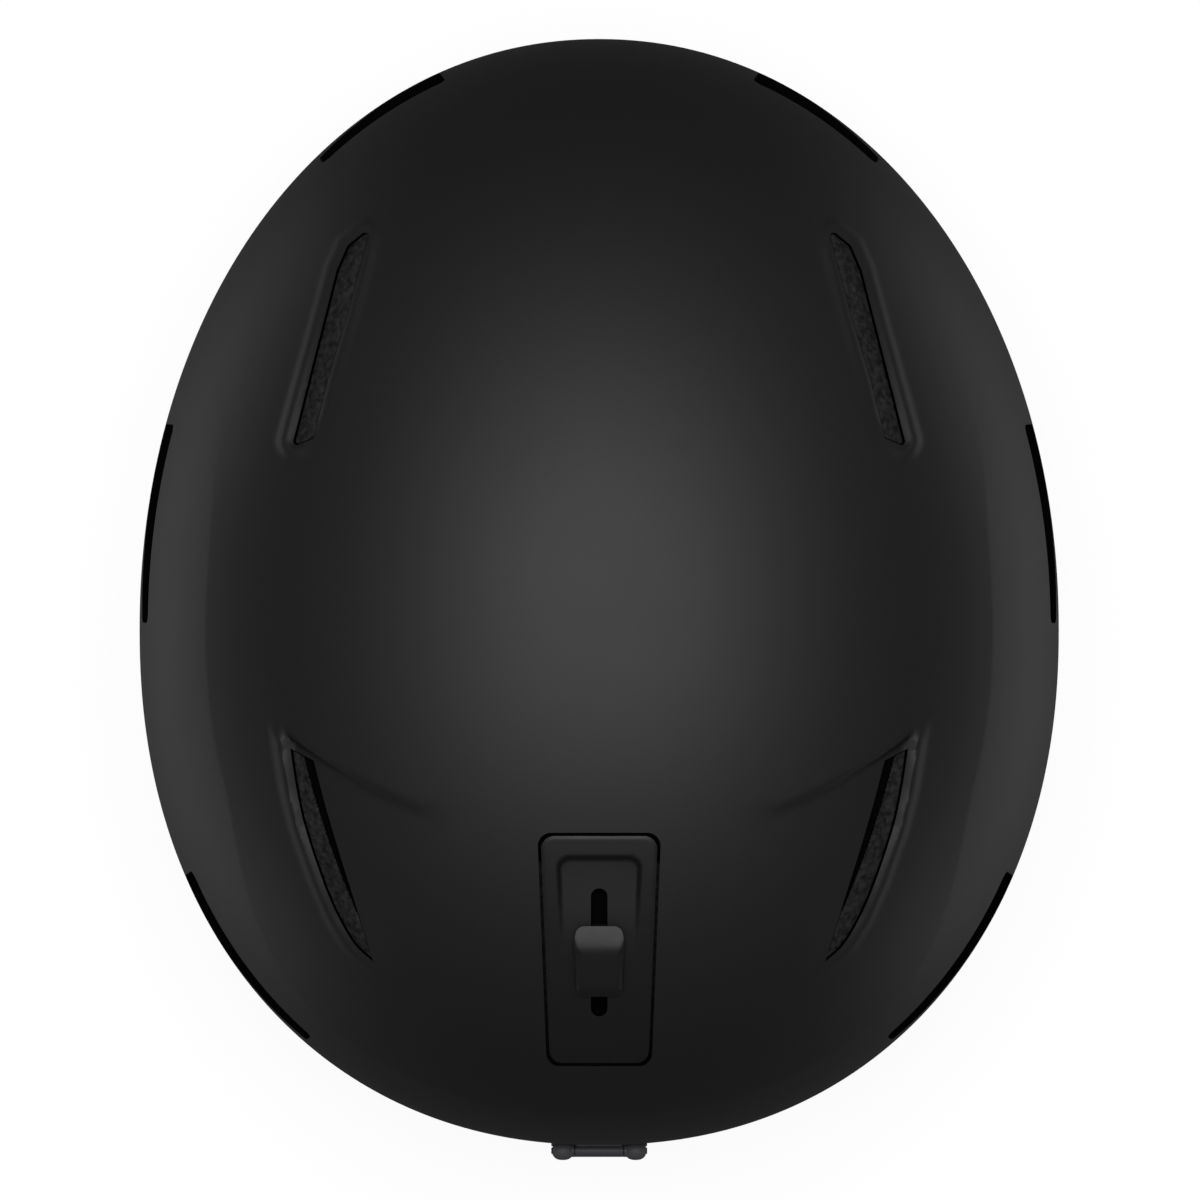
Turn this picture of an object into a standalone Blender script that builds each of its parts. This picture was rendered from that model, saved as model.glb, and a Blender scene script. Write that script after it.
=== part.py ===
"""Ski helmet, modelled as the pieces it comes apart into.

Metres, +Z up, the wearer faces +Y and the wearer's right is +X.
The helmet stands on the flat lower edges of its two ear pads, at z = 0.
"""

import math

import bmesh
import bpy
from mathutils import Vector

# Outer form of the helmet
HALF_WIDTH = 0.1149
FRONT_HALF_LENGTH = 0.14775
REAR_HALF_LENGTH = 0.12875
FRONT_POWER = 2.06
REAR_POWER = 2.16
PLAN_CENTRE_Y = -0.0079
BELT_Z = 0.092
DOME_HEIGHT = 0.108
DOME_POWER = 2.2
TUCK_DEPTH = 0.115
RIM_FRONT_Z = 0.084
RIM_SIDE_Z = 0.056
RIM_REAR_Z = 0.046

# How the rim and the shoulder change from side to front and back, by the sine of the direction
RIM_FRONT_TURN = (0.10, 0.62)
RIM_REAR_TURN = (0.55, 0.92)
SHOULDER_SHARE = 0.848
SHOULDER_FRONT_GAIN = 0.055
SHOULDER_FRONT_TURN = (0.1, 0.6)
SHOULDER_REAR_GAIN = 0.088
SHOULDER_REAR_TURN = (0.3, 0.8)
SHOULDER_BLEND = 0.2

# Walls and clearances
GAP = 0.0003
CUTTER_OVERRUN = 0.012
PRISM_FOOT = 0.003
PRISM_OVERRUN = 0.02
SHELL_WALL = 0.0025
FOAM_WALL = 0.0277
SHUTTER_ROOM = 0.0047
SHOULDER_RISE = 0.0012

# Facets of the domed surfaces
SEGMENTS = 48
DOME_RINGS = 7
WALL_RINGS = 4
CAVITY_RINGS = DOME_RINGS + WALL_RINGS
RIM_RINGS = 2

# Vents in the crown, left side, seen from above: across as a share of the half width, along as a length
FRONT_VENT_OUTER = [(-0.6641, 0.0374), (-0.5648, 0.0851), (-0.5074, 0.0909)]
FRONT_VENT_INNER = [(-0.6162, 0.0397), (-0.5840, 0.0546), (-0.5448, 0.0704), (-0.5074, 0.0909)]
FRONT_SCOOP = [(-0.7145, 0.0316), (-0.5901, 0.0869), (-0.4970, 0.0940)]
REAR_VENT_OUTER = [(-0.6667, -0.0372), (-0.6362, -0.0564), (-0.5979, -0.0698), (-0.5640, -0.0803),
                   (-0.4883, -0.0902)]
REAR_VENT_INNER = [(-0.6162, -0.0402), (-0.5901, -0.0517), (-0.5596, -0.0636), (-0.5274, -0.0754),
                   (-0.4883, -0.0902)]
REAR_SCOOP = [(-0.6971, -0.0319), (-0.7058, -0.0349), (-0.6554, -0.0659), (-0.5936, -0.0827),
              (-0.5274, -0.0937)]
SCOOP_DEPTH = 0.0009
CHANNEL_MARGIN = 0.001
CHANNEL_FLOOR_Z = 0.118

# Vent inserts and the shutter that opens and shuts under them
INSERT_TOP = 0.0014
INSERT_THICKNESS = 0.0020
WINDOW_LENGTH = 0.008
WINDOW_PITCH = 0.018
FRONT_WINDOW_Y = 0.0470
REAR_WINDOW_Y = -0.0480
WINDOW_RIM = 0.28
SHUTTER_TOP = 0.0049
SHUTTER_THICKNESS = 0.0012
SHUTTER_LAP = 0.0035
SHUTTER_SPINE_HALF = 0.009
SHUTTER_BAR_HALF = 0.008
SHUTTER_BAR_INSET = 0.0489
SHUTTER_BAR_FRONT_SHARE = 0.9

# Slider plate at the back of the crown
PLATE_FRONT_Y = -0.0588
PLATE_REAR_Y = -0.1154
PLATE_FRONT_HALF = 0.0145
PLATE_REAR_HALF = 0.01225
PLATE_CORNER = 0.0032
PLATE_THICKNESS = 0.0040
PLATE_GAP = 0.0005
PLATE_SCOOP_FRONT_Y = -0.0635
PLATE_SCOOP_REAR_Y = -0.0884
PLATE_SCOOP_HALF = 0.0109
PLATE_SCOOP_DEPTH = 0.0018
SLOT_HALF = 0.00206
SLOT_FRONT_Y = -0.0718
SLOT_REAR_Y = -0.1037
BUTTON_FRONT_Y = -0.0812
BUTTON_REAR_Y = -0.0997
BUTTON_HALF = 0.0066
BUTTON_HEIGHT = 0.0042
BUTTON_CLEARANCE = 0.0006
BUTTON_NOSE = 0.4
BUTTON_CREST = 0.4
BUTTON_SHOULDER = 0.85
BUTTON_TAIL = 0.55
BUTTON_TAIL_RUN = 0.3
SLIDE_FORWARD = 0.009
SLIDE_BACK = 0.0035

# Slits in the side wall: each has its middle in degrees round from +X, and its length
SIDE_SLIT_Z = 0.103
SIDE_SLIT_HEIGHT = 0.014
SIDE_SLIT_DEPTH = 0.011
SIDE_SLIT_TAPER = 0.4
SIDE_SLIT_CORNER = 0.25
SIDE_SLITS = {"front": (118.5, 0.037), "middle": (170.0, 0.050), "rear": (219.0, 0.051)}

# Goggle clip on the back wall
CLIP_Z = 0.074
CLIP_WIDTH = 0.024
CLIP_HEIGHT = 0.030
CLIP_POCKET = 0.0018
CLIP_PLATE = 0.0017
CLIP_AXIS_UP = 0.0125
CLIP_AXIS_OUT = 0.0009
CLIP_KNUCKLE_R = 0.0021
CLIP_KNUCKLE_LENGTH = 0.0054
CLIP_PIN_R = 0.0008
CLIP_PIN_PLAY = 0.7 * GAP
CLIP_BARREL_SHARE = 0.76
CLIP_ARM_WALL = 0.0014
CLIP_STRAP_ROOM = 0.0013

# Edge trim
TRIM_REACH = 0.0072
TRIM_HEIGHT = 0.0032

# Comfort padding
PAD_THICKNESS = 0.006
BROW_SEGMENTS = 10
BROW_HEIGHT = 0.026
BROW_LIFT = 0.002
SIDE_PAD_SEGMENTS = 6
SIDE_PAD_HEIGHT = 0.026
CROWN_PAD_LENGTH = 0.100
CROWN_PAD_WIDTH = 0.070
CROWN_PAD_CORNER = 0.025
EAR_PAD_THICKNESS = 0.016
EAR_PAD_SET_IN = 0.0239
EAR_PAD_INNER_X = HALF_WIDTH - EAR_PAD_SET_IN
EAR_PAD_FRONT_Y = 0.0340
EAR_PAD_REAR_Y = -0.0460
EAR_FOOT_FRONT_Y = 0.0240
EAR_FOOT_REAR_Y = -0.0360
EAR_PAD_WAIST_Z = 0.026
EAR_PAD_CORNER = 0.009
EAR_PAD_SOFT = 0.003

# Harness
WEBBING_WIDTH = 0.016
WEBBING_THICKNESS = 0.0016
STRAP_SET_IN = 0.0297
STRAP_X = HALF_WIDTH - STRAP_SET_IN
ANCHOR_FRONT_Y = 0.0180
ANCHOR_REAR_Y = -0.0520
ANCHOR_WIDTH = 0.020
ANCHOR_HEIGHT = 0.005
ANCHOR_DEPTH = 0.0065
DIVIDER_Y = -0.0060
DIVIDER_Z = 0.0280
DIVIDER_WIDTH = 0.040
DIVIDER_HEIGHT = 0.012
DIVIDER_DEPTH = 0.006
CHIN_BEND = 0.014
CHIN_BEND_STEPS = 6
CHIN_FLOOR_Z = 0.0043
SOCKET_LEFT_X = -0.046
SOCKET_LENGTH = 0.028
SOCKET_WIDTH = 0.026
SOCKET_HEIGHT = 0.0080
SOCKET_NECK = 0.8
SOCKET_WINDOW = 0.6
PRONG_LENGTH = 0.020
PRONG_WIDTH = 0.004
PRONG_THICKNESS = 0.0034
MIDDLE_PRONG_SHARE = 0.7
TONGUE_HEAD = 0.011
CHIN_PAD_LENGTH = 0.036
CHIN_PAD_WALL = 0.0018

# Size adjuster at the nape
BAND_RADIUS = 0.079
BAND_CENTRE_Y = -0.0170
BAND_THICKNESS = 0.0016
BAND_HEIGHT = 0.011
BAND_SPAN = 62.0
DIAL_Z = 0.030
PINION_TEETH = 10
PINION_MODULE = 0.001
PINION_WIDTH = 0.0020
RACK_BODY = 0.0030
RACK_TAIL = 0.0165
RACK_START = 0.038
TOOTH_TIP = 0.9 * PINION_MODULE
TOOTH_ROOT = 1.15 * PINION_MODULE
TOOTH_HALF = 0.20 * math.pi * PINION_MODULE
TOOTH_FOOT = 1.3
TOOTH_CREST = 0.58
HOUSING_HALF_ANGLE = 19.0
HOUSING_HALF_HEIGHT = 0.0145
HOUSING_ROOM = 0.0012
HOUSING_BACK = 0.0026
HOUSING_COVER = 0.0022
HOUSING_MOUTH = 1.3
NAPE_PAD_SHARE = 0.9
SHAFT_R = 0.0028
DIAL_R = 0.0130
DIAL_LENGTH = 0.0075
DIAL_GRIPS = 14
DIAL_GRIP_DEPTH = 0.0007
DIAL_GRIP_STEPS = 6
SCREW_R = 0.5 * SHAFT_R
SCREW_HEAD_R = 1.25 * SHAFT_R
SCREW_HEAD = 0.2 * DIAL_LENGTH
HANGER_SEGMENTS = 2
HANGER_TOP_Z = 0.080
HANGER_WALL = 0.0016

# The wall leans in below the belt, where its skin takes up more of the level distance
LINER_SEAT = SHELL_WALL + 2.5 * GAP
SHARP_EDGE = math.radians(35)
CAVITY_INSET = LINER_SEAT + FOAM_WALL
TURN = 2 * math.pi
RIGHT_ANGLE = math.pi / 2
BACK = 3 * RIGHT_ANGLE


for old in list(bpy.data.objects):
    bpy.data.objects.remove(old, do_unlink=True)

PARTS = bpy.data.collections.new("ski_helmet")
CUTTERS = bpy.data.collections.new("ski_helmet_cutters")
for collection in (PARTS, CUTTERS):
    bpy.context.scene.collection.children.link(collection)


def material(name, colour, roughness, metallic=0.0):
    made = bpy.data.materials.new(name)
    made.use_nodes = True
    shader = made.node_tree.nodes["Principled BSDF"]
    shader.inputs["Base Color"].default_value = (*colour, 1.0)
    shader.inputs["Roughness"].default_value = roughness
    shader.inputs["Metallic"].default_value = metallic
    return made


SHELL_BLACK = material("soft_touch_black", (0.012, 0.012, 0.013), 0.55)
PLASTIC_BLACK = material("moulded_black", (0.016, 0.016, 0.017), 0.45)
PLASTIC_GREY = material("moulded_grey", (0.045, 0.045, 0.048), 0.5)
FOAM = material("moulded_foam", (0.020, 0.020, 0.022), 0.85)
MESH_GREY = material("vent_mesh_grey", (0.030, 0.030, 0.032), 0.8)
PADDING = material("brushed_padding", (0.022, 0.022, 0.025), 0.95)
WEBBING = material("woven_webbing", (0.014, 0.014, 0.015), 0.85)
RUBBER = material("edge_rubber", (0.014, 0.014, 0.014), 0.7)
STEEL = material("plated_steel", (0.55, 0.55, 0.56), 0.3, 1.0)


def add_part(name, mesh, finish, parent=None):
    """One sub-part as its own object, with its finish."""
    part = bpy.data.objects.new(name, mesh)
    mesh.materials.clear()
    mesh.materials.append(finish)
    mesh.shade_smooth()
    mesh.set_sharp_from_angle(angle=SHARP_EDGE)
    PARTS.objects.link(part)
    part.parent = parent
    return part


def add_tool(name, mesh):
    """A cutter: drawn as wire and left out of renders."""
    tool = bpy.data.objects.new(name, mesh)
    tool.hide_render = True
    tool.display_type = "WIRE"
    CUTTERS.objects.link(tool)
    return tool


def boolean(target, operation, other):
    modifier = target.modifiers.new(f"{operation.lower()} {other.name}", "BOOLEAN")
    modifier.operation = operation
    modifier.solver = "EXACT"
    modifier.object = other


def soften(part, width, segments=2, limit=40.0):
    """Rounded edges on a finished shape."""
    bevel = part.modifiers.new("rounded edges", "BEVEL")
    bevel.width = width
    bevel.segments = segments
    bevel.limit_method = "ANGLE"
    bevel.angle_limit = math.radians(limit)


def axis_empty(name, location, rotation=(0.0, 0.0, 0.0)):
    """An empty on a joint axis or at a seat, to carry the pieces there."""
    empty = bpy.data.objects.new(name, None)
    empty.location = location
    empty.rotation_euler = rotation
    PARTS.objects.link(empty)
    return empty


def mesh_of(name, bm):
    bm.normal_update()
    bmesh.ops.recalc_face_normals(bm, faces=bm.faces)
    mesh = bpy.data.meshes.new(name)
    bm.to_mesh(mesh)
    bm.free()
    return mesh


def outline_mesh(name, points, low, high):
    """A flat outline in X and Y, filled and thickened from low to high along Z."""
    curve = bpy.data.curves.new(name, "CURVE")
    curve.dimensions = "2D"
    curve.fill_mode = "BOTH"
    curve.extrude = (high - low) / 2
    spline = curve.splines.new("POLY")
    spline.points.add(len(points) - 1)
    for spot, (x, y) in zip(spline.points, points):
        spot.co = (x, y, 0.0, 1.0)
    spline.use_cyclic_u = True
    holder = bpy.data.objects.new(name, curve)
    bpy.context.scene.collection.objects.link(holder)
    graph = bpy.context.evaluated_depsgraph_get()
    mesh = bpy.data.meshes.new_from_object(holder.evaluated_get(graph))
    bpy.data.objects.remove(holder)
    bpy.data.curves.remove(curve)
    bm = bmesh.new()
    bm.from_mesh(mesh)
    bpy.data.meshes.remove(mesh)
    bmesh.ops.remove_doubles(bm, verts=bm.verts, dist=1e-6)
    bmesh.ops.translate(bm, verts=bm.verts, vec=(0.0, 0.0, (low + high) / 2))
    return mesh_of(name, bm)


def box_mesh(name, low, high):
    bm = bmesh.new()
    bmesh.ops.create_cube(bm, size=1.0)
    for vertex in bm.verts:
        vertex.co = [a + (b - a) * (c + 0.5) for a, b, c in zip(low, high, vertex.co)]
    return mesh_of(name, bm)


def rod_mesh(name, radius, low, high, axis="Z", sides=24):
    """A round bar along one axis, from low to high."""
    bm = bmesh.new()
    bmesh.ops.create_cone(bm, cap_ends=True, segments=sides, radius1=radius, radius2=radius,
                          depth=high - low)
    for vertex in bm.verts:
        x, y, z = vertex.co
        z += (low + high) / 2
        vertex.co = {"X": (z, x, y), "Y": (y, z, x), "Z": (x, y, z)}[axis]
    return mesh_of(name, bm)


def rounded(points, radius, steps=4):
    """The outline with an arc of this radius at each corner."""
    result = []
    for index, corner in enumerate(points):
        here = Vector(corner)
        before = (Vector(points[index - 1]) - here).normalized()
        after = (Vector(points[(index + 1) % len(points)]) - here).normalized()
        half = before.angle(after) / 2
        middle = here + (before + after).normalized() * radius / math.sin(half)
        start = here + before * radius / math.tan(half)
        end = here + after * radius / math.tan(half)
        for step in range(steps + 1):
            spot = start.lerp(end, step / steps) - middle
            result.append(tuple(middle + spot.normalized() * radius))
    return result


def grown(points, distance):
    """The outline moved outwards by a distance, or inwards if it is negative."""
    area = sum(a[0] * b[1] - b[0] * a[1] for a, b in zip(points, points[1:] + points[:1]))
    side = distance if area > 0 else -distance
    result = []
    for index, corner in enumerate(points):
        here = Vector(corner)
        before = (here - Vector(points[index - 1])).normalized()
        after = (Vector(points[(index + 1) % len(points)]) - here).normalized()
        normal = Vector((before.y + after.y, -before.x - after.x)).normalized()
        lean = max(normal.dot(Vector((before.y, -before.x))), 0.5)
        result.append(tuple(here + normal * side / lean))
    return result


def mirrored(points):
    return [(-x, y) for x, y in reversed(points)]


def smooth_step(low, high, value):
    share = min(max((value - low) / (high - low), 0.0), 1.0)
    return share * share * (3 - 2 * share)


def half_length(along):
    """How far the plan reaches from its centre, and its roundness, ahead of it or behind it."""
    if along >= 0:
        return FRONT_HALF_LENGTH, FRONT_POWER
    return REAR_HALF_LENGTH, REAR_POWER


def plan_point(azimuth, inset):
    """The outline at the belt, seen from above, about the plan's centre."""
    across, along = math.cos(azimuth), math.sin(azimuth)
    reach, power = half_length(along)
    x = (HALF_WIDTH - inset) * math.copysign(abs(across) ** (2 / power), across)
    y = (reach - inset) * math.copysign(abs(along) ** (2 / power), along)
    return x, y


def placed(azimuth, share, z, inset):
    x, y = plan_point(azimuth, inset)
    return Vector((x * share, PLAN_CENTRE_Y + y * share, z))


def dome_point(azimuth, polar, inset):
    """A point of the crown: polar runs from 0 at the top to a right angle at the belt."""
    share = abs(math.sin(polar)) ** (2 / DOME_POWER)
    lift = abs(math.cos(polar)) ** (2 / DOME_POWER)
    return placed(azimuth, share, BELT_Z + (DOME_HEIGHT - inset) * lift, inset)


def level_point(azimuth, z, inset):
    """The point of the wall at one height, above or below the belt."""
    if z >= BELT_Z:
        lift = min((z - BELT_Z) / (DOME_HEIGHT - inset), 1.0)
        share = (1 - lift ** DOME_POWER) ** (1 / DOME_POWER)
    else:
        share = math.sqrt(1 - ((BELT_Z - z) / TUCK_DEPTH) ** 2)
    return placed(azimuth, share, z, inset)


def middle_height(y, inset):
    """Height of the crown over the middle plane, and the slope of its normal there."""
    reach = half_length(y - PLAN_CENTRE_Y)[0] - inset
    share = abs(y - PLAN_CENTRE_Y) / reach
    lift = (1 - share ** DOME_POWER) ** (1 / DOME_POWER)
    rise = DOME_HEIGHT - inset
    out = math.copysign(share ** (DOME_POWER - 1) / reach, y - PLAN_CENTRE_Y)
    up = lift ** (DOME_POWER - 1) / rise
    return BELT_Z + rise * lift, math.atan2(out, up)


def rim_height(azimuth):
    forward = math.sin(azimuth)
    height = RIM_SIDE_Z + (RIM_FRONT_Z - RIM_SIDE_Z) * smooth_step(*RIM_FRONT_TURN, forward)
    return height + (RIM_REAR_Z - RIM_SIDE_Z) * smooth_step(*RIM_REAR_TURN, -forward)


def shoulder_polar(azimuth):
    """Where the crown breaks into the side wall: high at the sides, lower front and back."""
    forward = math.sin(azimuth)
    share = SHOULDER_SHARE + SHOULDER_FRONT_GAIN * smooth_step(*SHOULDER_FRONT_TURN, forward)
    share += SHOULDER_REAR_GAIN * smooth_step(*SHOULDER_REAR_TURN, -forward)
    return math.asin(share ** (DOME_POWER / 2))


def shell_place(inset):
    """Rings run from the crown to the shoulder, over the break, then down the wall to the rim."""
    def place(azimuth, ring):
        crest = shoulder_polar(azimuth)
        if ring <= DOME_RINGS:
            return dome_point(azimuth, crest * ring / DOME_RINGS, inset)
        step = (ring - DOME_RINGS) / WALL_RINGS
        top = dome_point(azimuth, crest, 0.0).z
        z = top + (rim_height(azimuth) - top) * step
        rise = SHOULDER_RISE * (1 - smooth_step(0.0, 1.0, (top - z) / (top - BELT_Z)))
        return level_point(azimuth, z, inset - rise * smooth_step(0.0, SHOULDER_BLEND, step))
    return place


def liner_place(azimuth, ring):
    """The foam's outer face: seated on the wall, dropped under the crown to clear the shutter."""
    crest = shoulder_polar(azimuth)
    if ring <= DOME_RINGS:
        return dome_point(azimuth, crest * ring / DOME_RINGS, LINER_SEAT + SHUTTER_ROOM)
    step = (ring - DOME_RINGS) / WALL_RINGS
    top = dome_point(azimuth, crest, 0.0).z
    z = top + (rim_height(azimuth) - top) * step
    drop = SHUTTER_ROOM * (1 - smooth_step(0.0, SHOULDER_BLEND, step))
    return level_point(azimuth, z, LINER_SEAT + drop)


def cavity_place(azimuth, ring):
    """The foam's inner face, from the top of the head cavity to the rim."""
    if ring <= CAVITY_RINGS:
        return dome_point(azimuth, RIGHT_ANGLE * ring / CAVITY_RINGS, CAVITY_INSET)
    step = (ring - CAVITY_RINGS) / RIM_RINGS
    return level_point(azimuth, BELT_Z + (rim_height(azimuth) - BELT_Z) * step, CAVITY_INSET)


def add_cap(bm, place, rings):
    """Half a UV sphere, pole at the crown, with each ring moved to its place."""
    made = bmesh.ops.create_uvsphere(bm, u_segments=SEGMENTS, v_segments=2 * rings, radius=1.0)
    below = [vertex for vertex in made["verts"] if vertex.co.z < -1e-4]
    kept = [vertex for vertex in made["verts"] if vertex.co.z >= -1e-4]
    bmesh.ops.delete(bm, geom=below, context="VERTS")
    for vertex in kept:
        x, y, z = vertex.co
        ring = math.acos(min(max(z, -1.0), 1.0)) / RIGHT_ANGLE * rings
        vertex.co = place(math.atan2(y, x), round(ring, 4))


def rim_edges(bm):
    return [edge for edge in bm.edges if edge.is_boundary]


def dome_mesh(name, inset):
    """The space inside the crown, closed flat at the belt."""
    bm = bmesh.new()
    rings = DOME_RINGS + WALL_RINGS
    add_cap(bm, lambda azimuth, ring: dome_point(azimuth, RIGHT_ANGLE * ring / rings, inset), rings)
    bmesh.ops.holes_fill(bm, edges=rim_edges(bm))
    return mesh_of(name, bm)


DOMES = {}


def dome_tool(inset):
    key = round(inset * 1e6)
    if key not in DOMES:
        DOMES[key] = add_tool(f"dome_{key}um", dome_mesh(f"dome_{key}um", inset))
    return DOMES[key]


def between(target, outer, inner):
    """Keeps only what lies between two depths under the crown's surface."""
    boolean(target, "INTERSECT", dome_tool(outer))
    boolean(target, "DIFFERENCE", dome_tool(inner))


PRISM_LOW = BELT_Z + PRISM_FOOT
PRISM_HIGH = BELT_Z + DOME_HEIGHT + PRISM_OVERRUN


def prism_tool(name, outline, low=PRISM_LOW):
    return add_tool(name, outline_mesh(name, outline, low, PRISM_HIGH))


def scoop_tool(name, outline, depth):
    """A cutter that takes a shallow layer off the crown inside an outline."""
    tool = prism_tool(name, outline)
    boolean(tool, "DIFFERENCE", dome_tool(depth))
    return tool


def edge_x(edge, y):
    """Where a vent's edge stands at one place along the helmet."""
    for (x0, y0), (x1, y1) in zip(edge, edge[1:]):
        if min(y0, y1) <= y <= max(y0, y1):
            return x0 + (x1 - x0) * (y - y0) / (y1 - y0)
    return min(edge, key=lambda spot: abs(spot[1] - y))[0]


def vent_windows(outer, inner, middles):
    """Four-cornered windows across a vent, clear of its edges by a share of its width."""
    for middle in middles:
        window = []
        for y, shares in ((middle - WINDOW_LENGTH / 2, (WINDOW_RIM, 1 - WINDOW_RIM)),
                          (middle + WINDOW_LENGTH / 2, (1 - WINDOW_RIM, WINDOW_RIM))):
            a, b = edge_x(outer, y), edge_x(inner, y)
            window += [(a + (b - a) * share, y) for share in shares]
        yield window


def drawn(points):
    """An outline of the vents, fitted to the width of the helmet."""
    return [(share * HALF_WIDTH, y) for share, y in points]


VENTS = {}
for place, outer, inner, scoop, middles in (
        ("front", FRONT_VENT_OUTER, FRONT_VENT_INNER, FRONT_SCOOP,
         [FRONT_WINDOW_Y + WINDOW_PITCH * i for i in range(3)]),
        ("rear", REAR_VENT_OUTER, REAR_VENT_INNER, REAR_SCOOP,
         [REAR_WINDOW_Y - WINDOW_PITCH * i for i in range(2)])):
    outer, inner, scoop = drawn(outer), drawn(inner), drawn(scoop)
    slot = outer + inner[-2::-1]
    scooped = scoop + inner[-2::-1]
    windows = list(vent_windows(outer, inner, middles))
    VENTS[f"{place}_left"] = (slot, scooped, windows)
    VENTS[f"{place}_right"] = (mirrored(slot), mirrored(scooped),
                               [mirrored(window) for window in windows])


def plate_outline(extra):
    """The slider plate seen from above, or the opening for it with a margin."""
    corners = [(-PLATE_FRONT_HALF, PLATE_FRONT_Y), (-PLATE_REAR_HALF, PLATE_REAR_Y),
               (PLATE_REAR_HALF, PLATE_REAR_Y), (PLATE_FRONT_HALF, PLATE_FRONT_Y)]
    return rounded(grown(corners, extra), PLATE_CORNER)


def slit_tool(name, azimuth, length, depth):
    """A slot through the side wall, tapering to one end, cut square to the wall."""
    outer = level_point(math.radians(azimuth), SIDE_SLIT_Z, 0.0)
    ahead = level_point(math.radians(azimuth + 1), SIDE_SLIT_Z, 0.0) - outer
    half = SIDE_SLIT_HEIGHT / 2
    rear = math.copysign(length / 2, math.cos(math.radians(azimuth)) * -1)
    profile = rounded([(-rear, -half), (rear, half * SIDE_SLIT_TAPER), (rear, half), (-rear, half)],
                      half * SIDE_SLIT_CORNER, 2)
    tool = add_tool(name, outline_mesh(name, profile, -depth, depth))
    tool.location = outer
    tool.rotation_euler = (RIGHT_ANGLE, 0.0, math.atan2(ahead.y, ahead.x))
    return tool


def face_towards(bm, aim):
    """Turns an open surface so that its faces look the way aim gives for a point."""
    bm.normal_update()
    bmesh.ops.recalc_face_normals(bm, faces=bm.faces)
    face = max(bm.faces, key=lambda f: f.calc_area())
    if face.normal.dot(aim(face.calc_center_median())) < 0:
        bmesh.ops.reverse_faces(bm, faces=bm.faces)


def open_surface(name, bm, aim):
    face_towards(bm, aim)
    mesh = bpy.data.meshes.new(name)
    bm.to_mesh(mesh)
    bm.free()
    return mesh


def thicken(part, wall, side):
    """Gives a surface its wall: side 1 grows it the way it faces, -1 behind it."""
    solid = part.modifiers.new("wall", "SOLIDIFY")
    solid.thickness = wall
    solid.offset = side
    solid.use_even_offset = True


def from_axis(spot):
    return Vector((spot.x, spot.y - PLAN_CENTRE_Y, 0.0))


def straight_up(spot):
    return Vector((0.0, 0.0, 1.0))


def wall_patch(name, middle, segments, low, height, inset, finish, wall):
    """A padded or moulded panel that follows the inside of the foam, thickened inwards."""
    bm = bmesh.new()
    bmesh.ops.create_grid(bm, x_segments=segments, y_segments=3, size=1.0)
    span = segments * TURN / SEGMENTS
    for vertex in bm.verts:
        azimuth = math.radians(middle) - vertex.co.x * span / 2
        z = low(azimuth) + height * (vertex.co.y + 1) / 2
        vertex.co = level_point(azimuth, z, inset)
    part = add_part(name, open_surface(name, bm, lambda spot: -from_axis(spot)), finish)
    thicken(part, wall, 1)
    return part


SIDES = {"left": -1, "right": 1}

# Outer shell: a domed skin with its vents, slits, slider opening and clip pocket cut through
bm = bmesh.new()
add_cap(bm, shell_place(0.0), DOME_RINGS + WALL_RINGS)
shell = add_part("outer_shell", open_surface("outer_shell", bm, from_axis), SHELL_BLACK)
thicken(shell, SHELL_WALL, -1)

# Foam liner: outer and inner faces joined round the rim
bm = bmesh.new()
add_cap(bm, liner_place, DOME_RINGS + WALL_RINGS)
add_cap(bm, cavity_place, CAVITY_RINGS + RIM_RINGS)
bmesh.ops.bridge_loops(bm, edges=rim_edges(bm))
liner = add_part("foam_liner", mesh_of("foam_liner", bm), FOAM)

for name, (slot, scooped, windows) in VENTS.items():
    boolean(shell, "DIFFERENCE", scoop_tool(f"scoop_{name}", scooped, SCOOP_DEPTH))
    boolean(shell, "DIFFERENCE", prism_tool(f"slot_{name}", slot))
    channel = prism_tool(f"channel_{name}", grown(slot, CHANNEL_MARGIN), CHANNEL_FLOOR_Z)
    boolean(liner, "DIFFERENCE", channel)
    filled = outline_mesh(name, grown(slot, -GAP), PRISM_LOW, PRISM_HIGH)
    insert = add_part(f"vent_mesh_{name}", filled, MESH_GREY)
    between(insert, INSERT_TOP, INSERT_TOP + INSERT_THICKNESS)
    for number, window in enumerate(windows):
        opening = prism_tool(f"window_{name}_{number}", window, PRISM_LOW - GAP)
        boolean(insert, "DIFFERENCE", opening)

for place, (azimuth, length) in SIDE_SLITS.items():
    for side, angle in (("left", azimuth), ("right", 180.0 - azimuth)):
        slit = slit_tool(f"slit_{place}_{side}", angle, length, SIDE_SLIT_DEPTH)
        boolean(shell, "DIFFERENCE", slit)
        boolean(liner, "DIFFERENCE", slit)

# Edge trim under the rim of the shell
bm = bmesh.new()
bmesh.ops.create_circle(bm, segments=SEGMENTS, radius=1.0)
bmesh.ops.extrude_edge_only(bm, edges=bm.edges[:])
for index, vertex in enumerate(bm.verts):
    azimuth = math.atan2(vertex.co.y, vertex.co.x)
    inset = GAP if index < SEGMENTS else TRIM_REACH
    vertex.co = level_point(azimuth, rim_height(azimuth) - GAP, inset)
trim = add_part("rim_trim", open_surface("rim_trim", bm, straight_up), RUBBER)
thicken(trim, TRIM_HEIGHT, -1)

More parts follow.
